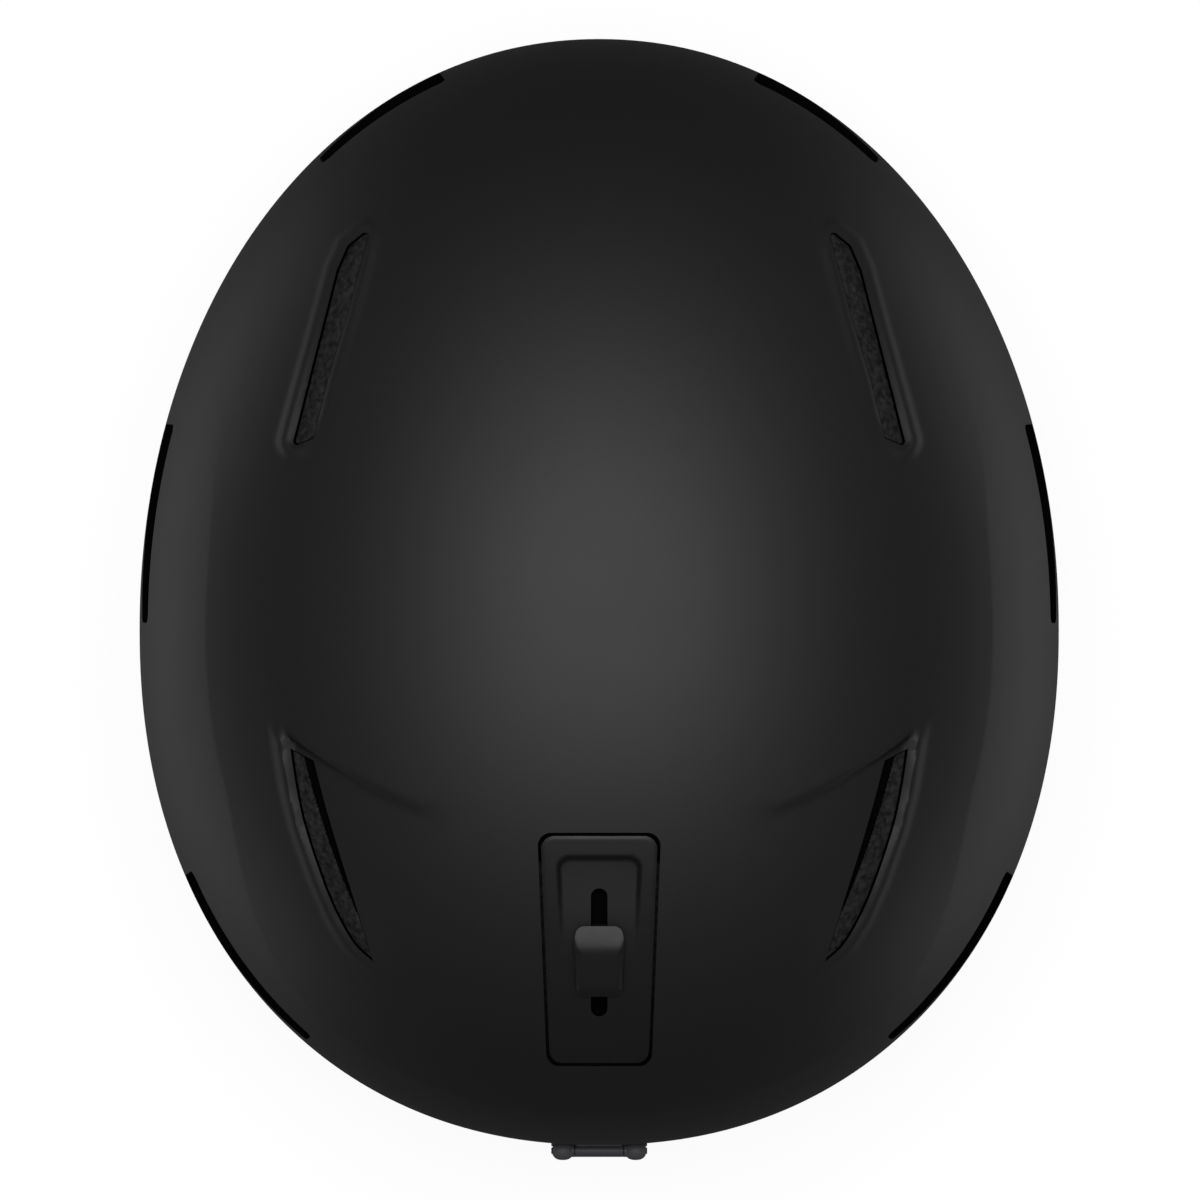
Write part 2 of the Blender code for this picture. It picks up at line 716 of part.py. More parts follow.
# Slider plate: a tray let into the shell, scooped in front of its slot
boolean(shell, "DIFFERENCE", prism_tool("plate_opening", plate_outline(PLATE_GAP)))
tray = outline_mesh("slider_plate", plate_outline(0.0), PRISM_LOW, PRISM_HIGH)
plate = add_part("slider_plate", tray, PLASTIC_BLACK)
between(plate, 0.0, PLATE_THICKNESS)
SIDE_VIEW = (RIGHT_ANGLE, 0.0, RIGHT_ANGLE)
scoop_front_z, _ = middle_height(PLATE_SCOOP_FRONT_Y, PLATE_SCOOP_DEPTH)
scoop_rear_z, _ = middle_height(PLATE_SCOOP_REAR_Y, 0.0)
ramp_outline = [(PLATE_SCOOP_FRONT_Y, scoop_front_z), (PLATE_SCOOP_REAR_Y, scoop_rear_z),
                (PLATE_SCOOP_REAR_Y, PRISM_HIGH), (PLATE_SCOOP_FRONT_Y, PRISM_HIGH)]
ramp = add_tool("plate_ramp", outline_mesh("plate_ramp", ramp_outline, -PLATE_SCOOP_HALF, PLATE_SCOOP_HALF))
ramp.rotation_euler = SIDE_VIEW
boolean(plate, "DIFFERENCE", ramp)
slot_corners = [(-SLOT_HALF, SLOT_FRONT_Y), (-SLOT_HALF, SLOT_REAR_Y),
                (SLOT_HALF, SLOT_REAR_Y), (SLOT_HALF, SLOT_FRONT_Y)]
boolean(plate, "DIFFERENCE", prism_tool("plate_slot", rounded(slot_corners, SLOT_HALF - GAP / 6)))


def meet_of_normals(y_a, y_b):
    """Where the crown's normals over two places of the middle plane meet."""
    z_a, lean_a = middle_height(y_a, 0.0)
    z_b, lean_b = middle_height(y_b, 0.0)
    turn = math.sin(lean_a - lean_b)
    depth = ((y_b - y_a) * math.cos(lean_b) - (z_b - z_a) * math.sin(lean_b)) / -turn
    return y_a - depth * math.sin(lean_a), z_a - depth * math.cos(lean_a)


def over_crown(y, out):
    """A point of the middle plane, a distance out from the crown along its normal."""
    z, lean = middle_height(y, 0.0)
    return y + out * math.sin(lean), z + out * math.cos(lean)


# Vent slider: button, stem and shutter turn together about an axis across the helmet
SLOT_MIDDLE_Y = (SLOT_FRONT_Y + SLOT_REAR_Y) / 2
PIVOT_Y, PIVOT_Z = meet_of_normals(SLOT_MIDDLE_Y, FRONT_WINDOW_Y + WINDOW_PITCH)
slider_axis = axis_empty("vent_slider_axis", (0.0, PIVOT_Y, PIVOT_Z))


def side_part(name, outline, half, finish, parent):
    """A side-view outline in Y and Z, spread across the middle plane, placed from its parent."""
    y, z = parent.location.y, parent.location.z
    mesh = outline_mesh(name, [(a - y, b - z) for a, b in outline], -half, half)
    part = add_part(name, mesh, finish, parent)
    part.rotation_euler = SIDE_VIEW
    return part


BUTTON_CREST_Y = BUTTON_FRONT_Y + BUTTON_CREST * (BUTTON_REAR_Y - BUTTON_FRONT_Y)
button = side_part("vent_slider", [
    over_crown(BUTTON_FRONT_Y, BUTTON_CLEARANCE),
    over_crown(BUTTON_FRONT_Y, BUTTON_HEIGHT * BUTTON_NOSE),
    over_crown(BUTTON_CREST_Y, BUTTON_HEIGHT),
    over_crown(BUTTON_REAR_Y + BUTTON_HEIGHT * BUTTON_TAIL_RUN, BUTTON_HEIGHT * BUTTON_SHOULDER),
    over_crown(BUTTON_REAR_Y, BUTTON_HEIGHT * BUTTON_TAIL),
    over_crown(BUTTON_REAR_Y, BUTTON_CLEARANCE),
    over_crown((BUTTON_FRONT_Y + BUTTON_REAR_Y) / 2, BUTTON_CLEARANCE)],
    BUTTON_HALF, PLASTIC_BLACK, slider_axis)
soften(button, BUTTON_CLEARANCE, 2)
STEM_FRONT_Y = SLOT_FRONT_Y - SLIDE_FORWARD - SLOT_HALF
STEM_REAR_Y = SLOT_REAR_Y + SLIDE_BACK + SLOT_HALF
STEM_HALF = SLOT_HALF - GAP
stem = side_part("slider_stem", [
    over_crown(STEM_FRONT_Y, BUTTON_CLEARANCE - GAP), over_crown(STEM_REAR_Y, BUTTON_CLEARANCE - GAP),
    over_crown(STEM_REAR_Y, GAP - SHUTTER_TOP), over_crown(STEM_FRONT_Y, GAP - SHUTTER_TOP)],
    STEM_HALF, PLASTIC_BLACK, slider_axis)

SPINE_FRONT_Y = FRONT_WINDOW_Y + WINDOW_PITCH
BAR_REACH = HALF_WIDTH - SHUTTER_BAR_INSET
shutter = add_part("vent_shutter", outline_mesh("vent_shutter", [
    (-SHUTTER_SPINE_HALF, SLOT_REAR_Y), (SHUTTER_SPINE_HALF, SLOT_REAR_Y),
    (SHUTTER_SPINE_HALF, SPINE_FRONT_Y), (-SHUTTER_SPINE_HALF, SPINE_FRONT_Y)],
    PRISM_LOW, PRISM_HIGH), PLASTIC_BLACK)
for place, middle in (("front", SPINE_FRONT_Y - SHUTTER_BAR_HALF),
                      ("rear", REAR_WINDOW_Y - WINDOW_PITCH / 2)):
    back, ahead = middle - SHUTTER_BAR_HALF, middle + SHUTTER_BAR_HALF * SHUTTER_BAR_FRONT_SHARE
    bar = [(-BAR_REACH, back), (BAR_REACH, back), (BAR_REACH, ahead), (-BAR_REACH, ahead)]
    boolean(shutter, "UNION", prism_tool(f"shutter_bar_{place}", bar, PRISM_LOW + GAP))
for name, (slot, scooped, windows) in VENTS.items():
    leaf = prism_tool(f"shutter_leaf_{name}", grown(slot, SHUTTER_LAP), PRISM_LOW + 2 * GAP)
    boolean(shutter, "UNION", leaf)
between(shutter, SHUTTER_TOP, SHUTTER_TOP + SHUTTER_THICKNESS)
for name, (slot, scooped, windows) in VENTS.items():
    for number, window in enumerate(windows):
        boolean(shutter, "DIFFERENCE", bpy.data.objects[f"window_{name}_{number}"])

# Goggle clip: a plate in a flat pocket of the back wall, with an arm on a pin
clip_top = level_point(BACK, CLIP_Z + CLIP_HEIGHT / 2, 0.0)
clip_foot = level_point(BACK, CLIP_Z - CLIP_HEIGHT / 2, 0.0)
CLIP_LEAN = math.atan2(clip_foot.y - clip_top.y, clip_top.z - clip_foot.z)
clip_seat = axis_empty("goggle_clip_seat", level_point(BACK, CLIP_Z, 0.0), (CLIP_LEAN, 0.0, 0.0))


def on_clip(obj):
    obj.parent = clip_seat
    return obj


PLATE_FACE = CLIP_PLATE - CLIP_POCKET + GAP
CLIP_PLATE_TOP = CLIP_AXIS_UP - CLIP_KNUCKLE_R - GAP
BARREL_R = CLIP_KNUCKLE_R * CLIP_BARREL_SHARE
BARREL_HALF = CLIP_WIDTH / 2 - CLIP_KNUCKLE_LENGTH - 2 * GAP
half_width, half_height = CLIP_WIDTH / 2, CLIP_HEIGHT / 2
boolean(shell, "DIFFERENCE", on_clip(add_tool("clip_pocket", box_mesh(
    "clip_pocket", (-half_width - 2 * GAP, -CUTTER_OVERRUN, -half_height - 2 * GAP),
    (half_width + 2 * GAP, CLIP_POCKET, half_height + 2 * GAP)))))
base = on_clip(add_part("goggle_clip_base", box_mesh(
    "goggle_clip_base", (-half_width, -PLATE_FACE, -half_height),
    (half_width, CLIP_POCKET - GAP, CLIP_PLATE_TOP)), PLASTIC_GREY))
neck = on_clip(add_tool("clip_neck", box_mesh(
    "clip_neck", (-BARREL_HALF + GAP, -CLIP_AXIS_OUT, CLIP_PLATE_TOP - 4 * GAP),
    (BARREL_HALF - GAP, CLIP_POCKET - 2 * GAP, CLIP_AXIS_UP))))
barrel = on_clip(add_tool("clip_barrel", rod_mesh(
    "clip_barrel", BARREL_R, -BARREL_HALF, BARREL_HALF, "X")))
pin_room = on_clip(add_tool("clip_pin_room", rod_mesh(
    "clip_pin_room", CLIP_PIN_R + CLIP_PIN_PLAY, -CLIP_WIDTH, CLIP_WIDTH, "X")))
for tool in (barrel, pin_room):
    tool.location = (0.0, -CLIP_AXIS_OUT, CLIP_AXIS_UP)
boolean(base, "UNION", neck)
boolean(base, "UNION", barrel)
boolean(base, "DIFFERENCE", pin_room)

clip_axis = axis_empty("goggle_clip_axis", (0.0, -CLIP_AXIS_OUT, CLIP_AXIS_UP))
clip_axis.parent = clip_seat
pin = add_part("goggle_clip_pin", rod_mesh(
    "goggle_clip_pin", CLIP_PIN_R, -half_width, half_width, "X", 16), STEEL)
pin.parent = clip_axis
arm_in = PLATE_FACE + CLIP_STRAP_ROOM - CLIP_AXIS_OUT
arm_out = arm_in + CLIP_ARM_WALL
arm_foot = -half_height - CLIP_AXIS_UP
lip_in = PLATE_FACE + GAP - CLIP_AXIS_OUT
arm_profile = [(-arm_in, 0.0), (-arm_out, 0.0), (-arm_out, arm_foot), (-lip_in, arm_foot),
               (-lip_in, arm_foot + CLIP_ARM_WALL), (-arm_in, arm_foot + CLIP_ARM_WALL)]
arm_half = half_width - GAP
arm = add_part("goggle_clip_arm", outline_mesh(
    "goggle_clip_arm", arm_profile, -arm_half, arm_half), PLASTIC_GREY)
arm.rotation_euler = SIDE_VIEW
arm.parent = clip_axis
knuckles = add_tool("clip_knuckles", rod_mesh(
    "clip_knuckles", CLIP_KNUCKLE_R, -arm_half + GAP, arm_half - GAP, "X"))
notch = add_tool("clip_notch", box_mesh(
    "clip_notch", (-BARREL_HALF - GAP, -CUTTER_OVERRUN, -CLIP_KNUCKLE_R),
    (BARREL_HALF + GAP, CUTTER_OVERRUN, CUTTER_OVERRUN)))
for tool in (knuckles, notch):
    tool.parent = clip_axis
boolean(arm, "UNION", knuckles)
boolean(arm, "DIFFERENCE", notch)
boolean(arm, "DIFFERENCE", pin_room)

# Comfort padding inside the foam
PAD_SEAT = CAVITY_INSET + 2 * GAP
wall_patch("brow_pad", 90.0, BROW_SEGMENTS, lambda azimuth: rim_height(azimuth) + BROW_LIFT,
           BROW_HEIGHT, PAD_SEAT, PADDING, PAD_THICKNESS)
for side, azimuth in (("left", 180.0), ("right", 0.0)):
    wall_patch(f"side_pad_{side}", azimuth, SIDE_PAD_SEGMENTS, lambda _: BELT_Z, SIDE_PAD_HEIGHT,
               PAD_SEAT, PADDING, PAD_THICKNESS)
half_x, half_y = CROWN_PAD_WIDTH / 2, CROWN_PAD_LENGTH / 2
crown = add_part("crown_pad", outline_mesh("crown_pad", rounded([
    (-half_x, PLAN_CENTRE_Y - half_y), (half_x, PLAN_CENTRE_Y - half_y),
    (half_x, PLAN_CENTRE_Y + half_y), (-half_x, PLAN_CENTRE_Y + half_y)], CROWN_PAD_CORNER),
    PRISM_LOW, PRISM_HIGH), PADDING)
between(crown, PAD_SEAT, PAD_SEAT + PAD_THICKNESS)

# Ear pads: they hang under the trim, and the helmet stands on their lower edges
EAR_PAD_TOP = RIM_SIDE_Z - TRIM_HEIGHT - 3 * GAP
ear_outline = rounded([(EAR_PAD_FRONT_Y, EAR_PAD_TOP), (EAR_PAD_REAR_Y, EAR_PAD_TOP),
                       (EAR_PAD_REAR_Y, EAR_PAD_WAIST_Z), (EAR_FOOT_REAR_Y, 0.0),
                       (EAR_FOOT_FRONT_Y, 0.0), (EAR_PAD_FRONT_Y, EAR_PAD_WAIST_Z)], EAR_PAD_CORNER, 3)
for side, sign in SIDES.items():
    low, high = sorted((sign * EAR_PAD_INNER_X, sign * (EAR_PAD_INNER_X + EAR_PAD_THICKNESS)))
    cushion = outline_mesh(f"ear_pad_{side}", ear_outline, low, high)
    ear = add_part(f"ear_pad_{side}", cushion, PADDING)
    ear.rotation_euler = SIDE_VIEW
    soften(ear, EAR_PAD_SOFT, 2)


def side_azimuth(y):
    """The direction in which the right-hand rim stands at one place along the helmet."""
    reach, power = half_length(y - PLAN_CENTRE_Y)
    share = (y - PLAN_CENTRE_Y) / reach
    return math.asin(math.copysign(abs(share) ** (power / 2), share))


def chin_path(x_from, sign):
    """The middle of the chin webbing, in X and Z: level, round a bend, then up to the divider."""
    middle_x, middle_z = STRAP_X - CHIN_BEND, CHIN_FLOOR_Z + CHIN_BEND
    path = [(x_from, CHIN_FLOOR_Z)]
    for step in range(CHIN_BEND_STEPS + 1):
        angle = RIGHT_ANGLE * (step / CHIN_BEND_STEPS - 1)
        path.append((sign * (middle_x + CHIN_BEND * math.cos(angle)),
                     middle_z + CHIN_BEND * math.sin(angle)))
    return path + [(sign * STRAP_X, DIVIDER_Z - DIVIDER_HEIGHT / 2 - GAP)]


def ribbon(path, thickness):
    """The outline of a strip of even thickness along a path."""
    sides = [[], []]
    for index, spot in enumerate(path):
        before, after = path[max(index - 1, 0)], path[min(index + 1, len(path) - 1)]
        run = Vector((after[0] - before[0], after[1] - before[1])).normalized()
        for edge, way in zip(sides, (thickness / 2, -thickness / 2)):
            edge.append((spot[0] - run.y * way, spot[1] + run.x * way))
    return sides[0] + sides[1][::-1]


# Harness: anchors under the foam, a divider below each ear, webbing between
FRONT_VIEW = (RIGHT_ANGLE, 0.0, 0.0)
DIVIDER_TOP = DIVIDER_Z + DIVIDER_HEIGHT / 2


def about_strap(sign, thickness):
    """The X limits of a piece that lies in the plane of the straps on one side."""
    return sorted(sign * (STRAP_X + way * thickness / 2) for way in (-1, 1))


for side, sign in SIDES.items():
    strap_low, strap_high = about_strap(sign, WEBBING_THICKNESS)
    for place, y, way in (("front", ANCHOR_FRONT_Y, 1), ("rear", ANCHOR_REAR_Y, -1)):
        top = rim_height(side_azimuth(y - ANCHOR_WIDTH / 2)) - GAP
        anchor_low, anchor_high = about_strap(sign, ANCHOR_DEPTH)
        anchor = add_part(f"strap_anchor_{place}_{side}", box_mesh(
            "strap_anchor", (anchor_low, y - ANCHOR_WIDTH / 2, top - ANCHOR_HEIGHT),
            (anchor_high, y + ANCHOR_WIDTH / 2, top)), PLASTIC_BLACK)
        soften(anchor, ANCHOR_HEIGHT / 6, 1)
        upper, lower = top - ANCHOR_HEIGHT - GAP, DIVIDER_TOP + GAP
        foot = DIVIDER_Y + way * (WEBBING_WIDTH / 2 + 2 * GAP)
        half = WEBBING_WIDTH / 2
        strap = add_part(f"{place}_strap_{side}", outline_mesh(f"{place}_strap_{side}", [
            (y - half, upper), (foot - half, lower), (foot + half, lower), (y + half, upper)],
            strap_low, strap_high), WEBBING)
        strap.rotation_euler = SIDE_VIEW
    corners = [(DIVIDER_Y - DIVIDER_WIDTH / 2, DIVIDER_TOP),
               (DIVIDER_Y - DIVIDER_WIDTH / 4, DIVIDER_TOP - DIVIDER_HEIGHT),
               (DIVIDER_Y + DIVIDER_WIDTH / 4, DIVIDER_TOP - DIVIDER_HEIGHT),
               (DIVIDER_Y + DIVIDER_WIDTH / 2, DIVIDER_TOP)]
    divider = add_part(f"strap_divider_{side}", outline_mesh(
        f"strap_divider_{side}", rounded(corners, DIVIDER_HEIGHT / 6, 2),
        *about_strap(sign, DIVIDER_DEPTH)), PLASTIC_BLACK)
    divider.rotation_euler = SIDE_VIEW

# Buckle: a socket on the left webbing, a three-pronged tongue on the right webbing
SOCKET_RIGHT_X = SOCKET_LEFT_X + SOCKET_LENGTH
TONGUE_LEFT_X = SOCKET_RIGHT_X - PRONG_LENGTH
TONGUE_RIGHT_X = SOCKET_RIGHT_X + 2 * GAP + TONGUE_HEAD
BUCKLE_LOW = CHIN_FLOOR_Z - SOCKET_HEIGHT / 2
BUCKLE_HIGH = CHIN_FLOOR_Z + SOCKET_HEIGHT / 2
half_socket = SOCKET_WIDTH / 2
half_prong = PRONG_THICKNESS / 2
socket = add_part("buckle_socket", outline_mesh("buckle_socket", rounded([
    (SOCKET_LEFT_X, DIVIDER_Y - half_socket * SOCKET_NECK), (SOCKET_RIGHT_X, DIVIDER_Y - half_socket),
    (SOCKET_RIGHT_X, DIVIDER_Y + half_socket), (SOCKET_LEFT_X, DIVIDER_Y + half_socket * SOCKET_NECK)],
    PRONG_WIDTH / 2, 3), BUCKLE_LOW, BUCKLE_HIGH), PLASTIC_BLACK)
throat_half = half_socket - PRONG_WIDTH / 2
boolean(socket, "DIFFERENCE", add_tool("buckle_throat", box_mesh(
    "buckle_throat",
    (TONGUE_LEFT_X - 4 * GAP, DIVIDER_Y - throat_half, CHIN_FLOOR_Z - half_prong - GAP),
    (SOCKET_RIGHT_X + PRONG_WIDTH, DIVIDER_Y + throat_half, CHIN_FLOOR_Z + half_prong + GAP))))
window_end_x = TONGUE_LEFT_X + PRONG_LENGTH * SOCKET_WINDOW
boolean(socket, "DIFFERENCE", add_tool("buckle_side_windows", box_mesh(
    "buckle_side_windows",
    (TONGUE_LEFT_X + PRONG_WIDTH / 2, DIVIDER_Y - SOCKET_WIDTH, CHIN_FLOOR_Z - half_prong - 2 * GAP),
    (window_end_x, DIVIDER_Y + SOCKET_WIDTH, CHIN_FLOOR_Z + half_prong + 2 * GAP))))
side_low = half_socket - PRONG_WIDTH / 2 - GAP - PRONG_WIDTH
tongue_axis = axis_empty("buckle_tongue_axis", (SOCKET_RIGHT_X, DIVIDER_Y, CHIN_FLOOR_Z))
tongue = add_part("buckle_tongue", box_mesh(
    "buckle_tongue", (2 * GAP, -half_socket, -SOCKET_HEIGHT / 2),
    (2 * GAP + TONGUE_HEAD, half_socket, SOCKET_HEIGHT / 2)), PLASTIC_BLACK, tongue_axis)
for name, low_y, length in (("left", side_low, PRONG_LENGTH),
                            ("middle", -PRONG_WIDTH / 2, PRONG_LENGTH * MIDDLE_PRONG_SHARE),
                            ("right", -side_low - PRONG_WIDTH, PRONG_LENGTH)):
    prong = add_tool(f"buckle_prong_{name}", box_mesh(
        f"buckle_prong_{name}", (-length, low_y, -half_prong),
        (TONGUE_HEAD / 2, low_y + PRONG_WIDTH, half_prong)))
    prong.parent = tongue_axis
    boolean(tongue, "UNION", prong)
soften(tongue, PRONG_WIDTH / 8, 1)

for side, sign, start in (("left", -1, SOCKET_LEFT_X - GAP), ("right", 1, TONGUE_RIGHT_X + GAP)):
    half = WEBBING_WIDTH / 2
    chin = add_part(f"chin_strap_{side}", outline_mesh(
        f"chin_strap_{side}", ribbon(chin_path(start, sign), WEBBING_THICKNESS), -half, half), WEBBING)
    chin.rotation_euler = FRONT_VIEW
    chin.location = (0.0, DIVIDER_Y, 0.0)

CHIN_PAD_LEFT_X = TONGUE_RIGHT_X + PRONG_LENGTH + PRONG_WIDTH
half_y = WEBBING_WIDTH / 2 + GAP
half_z = WEBBING_THICKNESS / 2 + GAP
sleeve_y, sleeve_z = half_y + CHIN_PAD_WALL, half_z + CHIN_PAD_WALL
sleeve = add_part("chin_pad", box_mesh(
    "chin_pad", (CHIN_PAD_LEFT_X, DIVIDER_Y - sleeve_y, CHIN_FLOOR_Z - sleeve_z),
    (CHIN_PAD_LEFT_X + CHIN_PAD_LENGTH, DIVIDER_Y + sleeve_y, CHIN_FLOOR_Z + sleeve_z)), PADDING)
soften(sleeve, CHIN_PAD_WALL / 2, 2)
boolean(sleeve, "DIFFERENCE", add_tool("chin_pad_throat", box_mesh(
    "chin_pad_throat", (CHIN_PAD_LEFT_X - PRONG_WIDTH, DIVIDER_Y - half_y, CHIN_FLOOR_Z - half_z),
    (CHIN_PAD_LEFT_X + CHIN_PAD_LENGTH + PRONG_WIDTH, DIVIDER_Y + half_y, CHIN_FLOOR_Z + half_z))))

# Size adjuster: two curved racks drawn together by the dial's pinion
band_axis = axis_empty("fit_band_axis", (0.0, BAND_CENTRE_Y, DIAL_Z))
PITCH_R = PINION_MODULE * PINION_TEETH / 2
TOOTH_PITCH = math.pi * PINION_MODULE
FACET_RUN = 2 * TOOTH_PITCH


def arc_block(name, inner, outer, half_angle, low, high, steps=10):
    """A block bent round the band's axis behind the head: a piece of a ring from above."""
    angles = [BACK + math.radians(half_angle) * (2 * step / steps - 1) for step in range(steps + 1)]
    outline = [(outer * math.cos(a), outer * math.sin(a)) for a in angles]
    outline += [(inner * math.cos(a), inner * math.sin(a)) for a in reversed(angles)]
    return outline_mesh(name, outline, low, high)


def rack_outline():
    """A band laid flat: run along X, height along Y, with teeth under its tail."""
    root, tip = PITCH_R + TOOTH_ROOT, PITCH_R - TOOTH_TIP
    outline = [(-RACK_TAIL, root), (-RACK_TAIL, root + RACK_BODY),
               (RACK_START, root + RACK_BODY), (RACK_START + BAND_HEIGHT / 2, BAND_HEIGHT / 2)]
    length = BAND_RADIUS * math.radians(BAND_SPAN)
    outline += [(length - BAND_HEIGHT / 4, BAND_HEIGHT / 2), (length, BAND_HEIGHT / 4),
                (length, -BAND_HEIGHT / 4), (length - BAND_HEIGHT / 4, -BAND_HEIGHT / 2),
                (RACK_START + BAND_HEIGHT / 2, -BAND_HEIGHT / 2), (RACK_START, root)]
    foot, crest = TOOTH_HALF * TOOTH_FOOT, TOOTH_HALF * TOOTH_CREST
    count = math.floor((RACK_TAIL - TOOTH_HALF * 2) / TOOTH_PITCH - 0.5)
    for number in range(count, -count - 2, -1):
        middle = (number + 0.5) * TOOTH_PITCH
        outline += [(middle + foot, root), (middle + crest, tip),
                    (middle - crest, tip), (middle - foot, root)]
    return outline


def bent_band(name, sign):
    """The flat band cut into short facets and wrapped round its axis, towards one side."""
    mesh = outline_mesh(name, rack_outline(), -BAND_THICKNESS / 2, BAND_THICKNESS / 2)
    bm = bmesh.new()
    bm.from_mesh(mesh)
    bmesh.ops.dissolve_limit(bm, angle_limit=0.01, verts=bm.verts, edges=bm.edges)
    first = math.ceil(-RACK_TAIL / FACET_RUN)
    last = math.floor(BAND_RADIUS * math.radians(BAND_SPAN) / FACET_RUN)
    for number in range(first, last + 1):
        geometry = bm.verts[:] + bm.edges[:] + bm.faces[:]
        spot = (number * FACET_RUN, 0.0, 0.0)
        bmesh.ops.bisect_plane(bm, geom=geometry, plane_co=spot, plane_no=(1.0, 0.0, 0.0))
    for vertex in bm.verts:
        x, y, out = vertex.co
        angle = BACK + sign * x / BAND_RADIUS
        radius = BAND_RADIUS + out
        vertex.co = (radius * math.cos(angle), radius * math.sin(angle), -sign * y)
    bpy.data.meshes.remove(mesh)
    return mesh_of(name, bm)


for side, sign in SIDES.items():
    add_part(f"fit_band_{side}", bent_band(f"fit_band_{side}", sign), PLASTIC_BLACK, band_axis)
ROOM = BAND_THICKNESS / 2 + HOUSING_ROOM
housing = add_part("dial_housing", arc_block(
    "dial_housing", BAND_RADIUS - ROOM, BAND_RADIUS + ROOM + HOUSING_BACK, HOUSING_HALF_ANGLE,
    -HOUSING_HALF_HEIGHT, HOUSING_HALF_HEIGHT), PLASTIC_BLACK, band_axis)
channel_half = PITCH_R + TOOTH_ROOT + RACK_BODY + 2 * GAP
channel = add_tool("housing_channel", arc_block(
    "housing_channel", BAND_RADIUS - 2 * ROOM, BAND_RADIUS + ROOM, HOUSING_HALF_ANGLE * HOUSING_MOUTH,
    -channel_half, channel_half))
channel.parent = band_axis
boolean(housing, "DIFFERENCE", channel)
cover_outer = BAND_RADIUS - ROOM - GAP
cover_inner = cover_outer - HOUSING_COVER
add_part("housing_cover", arc_block(
    "housing_cover", cover_inner, cover_outer, HOUSING_HALF_ANGLE,
    -HOUSING_HALF_HEIGHT, HOUSING_HALF_HEIGHT), PLASTIC_BLACK, band_axis)
nape_half = HOUSING_HALF_HEIGHT * NAPE_PAD_SHARE
add_part("nape_pad", arc_block(
    "nape_pad", cover_inner - GAP - PAD_THICKNESS, cover_inner - GAP, HOUSING_HALF_ANGLE * NAPE_PAD_SHARE,
    -nape_half, nape_half), PADDING, band_axis)

# Dial: knob, pinion with its shaft, and the screw that joins them
HOUSING_BACK_Y = BAND_CENTRE_Y - BAND_RADIUS - ROOM - HOUSING_BACK
dial_axis = axis_empty("fit_dial_axis", (0.0, HOUSING_BACK_Y - GAP, DIAL_Z), (RIGHT_ANGLE, 0.0, 0.0))
shaft_room = add_tool("shaft_room", rod_mesh("shaft_room", SHAFT_R + GAP, -DIAL_LENGTH, DIAL_LENGTH))
shaft_room.parent = dial_axis
boolean(housing, "DIFFERENCE", shaft_room)


def gear_outline():
    """Straight-flanked teeth round the pitch circle, one of them straight up."""
    outline = []
    for number in range(PINION_TEETH):
        middle = RIGHT_ANGLE + TURN * number / PINION_TEETH
        for radius, half in ((PITCH_R - TOOTH_ROOT, -TOOTH_FOOT), (PITCH_R + TOOTH_TIP, -TOOTH_CREST),
                             (PITCH_R + TOOTH_TIP, TOOTH_CREST), (PITCH_R - TOOTH_ROOT, TOOTH_FOOT)):
            angle = middle + half * TOOTH_HALF / PITCH_R
            outline.append((radius * math.cos(angle), radius * math.sin(angle)))
    return outline


pinion_middle = -(HOUSING_BACK + ROOM + GAP)
pinion = add_part("dial_pinion", outline_mesh(
    "dial_pinion", gear_outline(), pinion_middle - PINION_WIDTH / 2, pinion_middle + PINION_WIDTH / 2),
    PLASTIC_GREY, dial_axis)
shaft = add_tool("pinion_shaft", rod_mesh("pinion_shaft", SHAFT_R, pinion_middle, DIAL_LENGTH / 2))
shaft.parent = dial_axis
boolean(pinion, "UNION", shaft)
grips = []
for step in range(DIAL_GRIPS * DIAL_GRIP_STEPS):
    angle = TURN * step / (DIAL_GRIPS * DIAL_GRIP_STEPS)
    radius = DIAL_R - DIAL_GRIP_DEPTH * (0.5 - 0.5 * math.cos(DIAL_GRIPS * angle))
    grips.append((radius * math.cos(angle), radius * math.sin(angle)))
dial = add_part("fit_dial", outline_mesh("fit_dial", grips, 0.0, DIAL_LENGTH), PLASTIC_BLACK, dial_axis)
hub = add_tool("dial_hub_room", rod_mesh(
    "dial_hub_room", SHAFT_R + GAP, -DIAL_LENGTH, DIAL_LENGTH / 2 + GAP))
counterbore = add_tool("dial_screw_room", rod_mesh(
    "dial_screw_room", SCREW_HEAD_R + GAP, DIAL_LENGTH - SCREW_HEAD - GAP, DIAL_LENGTH * 2))
screw_hole = add_tool("dial_screw_hole", rod_mesh("dial_screw_hole", SCREW_R + GAP, 0.0, DIAL_LENGTH))
for tool in (hub, counterbore, screw_hole):
    tool.parent = dial_axis
    boolean(dial, "DIFFERENCE", tool)
screw = add_part("dial_screw", rod_mesh(
    "dial_screw", SCREW_HEAD_R, DIAL_LENGTH - SCREW_HEAD, DIAL_LENGTH), STEEL, dial_axis)
thread = add_tool("dial_screw_shank", rod_mesh(
    "dial_screw_shank", SCREW_R, DIAL_LENGTH / 2 + GAP, DIAL_LENGTH - SCREW_HEAD / 2))
thread.parent = dial_axis
boolean(screw, "UNION", thread)

# Hanger that carries the adjuster from the inside of the foam
HANGER_LOW = DIAL_Z + HOUSING_HALF_HEIGHT + GAP
wall_patch("adjuster_hanger", 270.0, HANGER_SEGMENTS, lambda _: HANGER_LOW, HANGER_TOP_Z - HANGER_LOW,
           PAD_SEAT, PLASTIC_BLACK, HANGER_WALL)
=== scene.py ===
# %% [markdown]
# # Dressing a ski helmet
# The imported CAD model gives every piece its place, its size and the way it moves.
# This lesson keeps that frame as it is, and builds over it the surfaces that the eye meets:
# a soft matt shell, open-pored vent inserts, a slider, bead foam, padding and webbing.

# %% Load the frame
import math

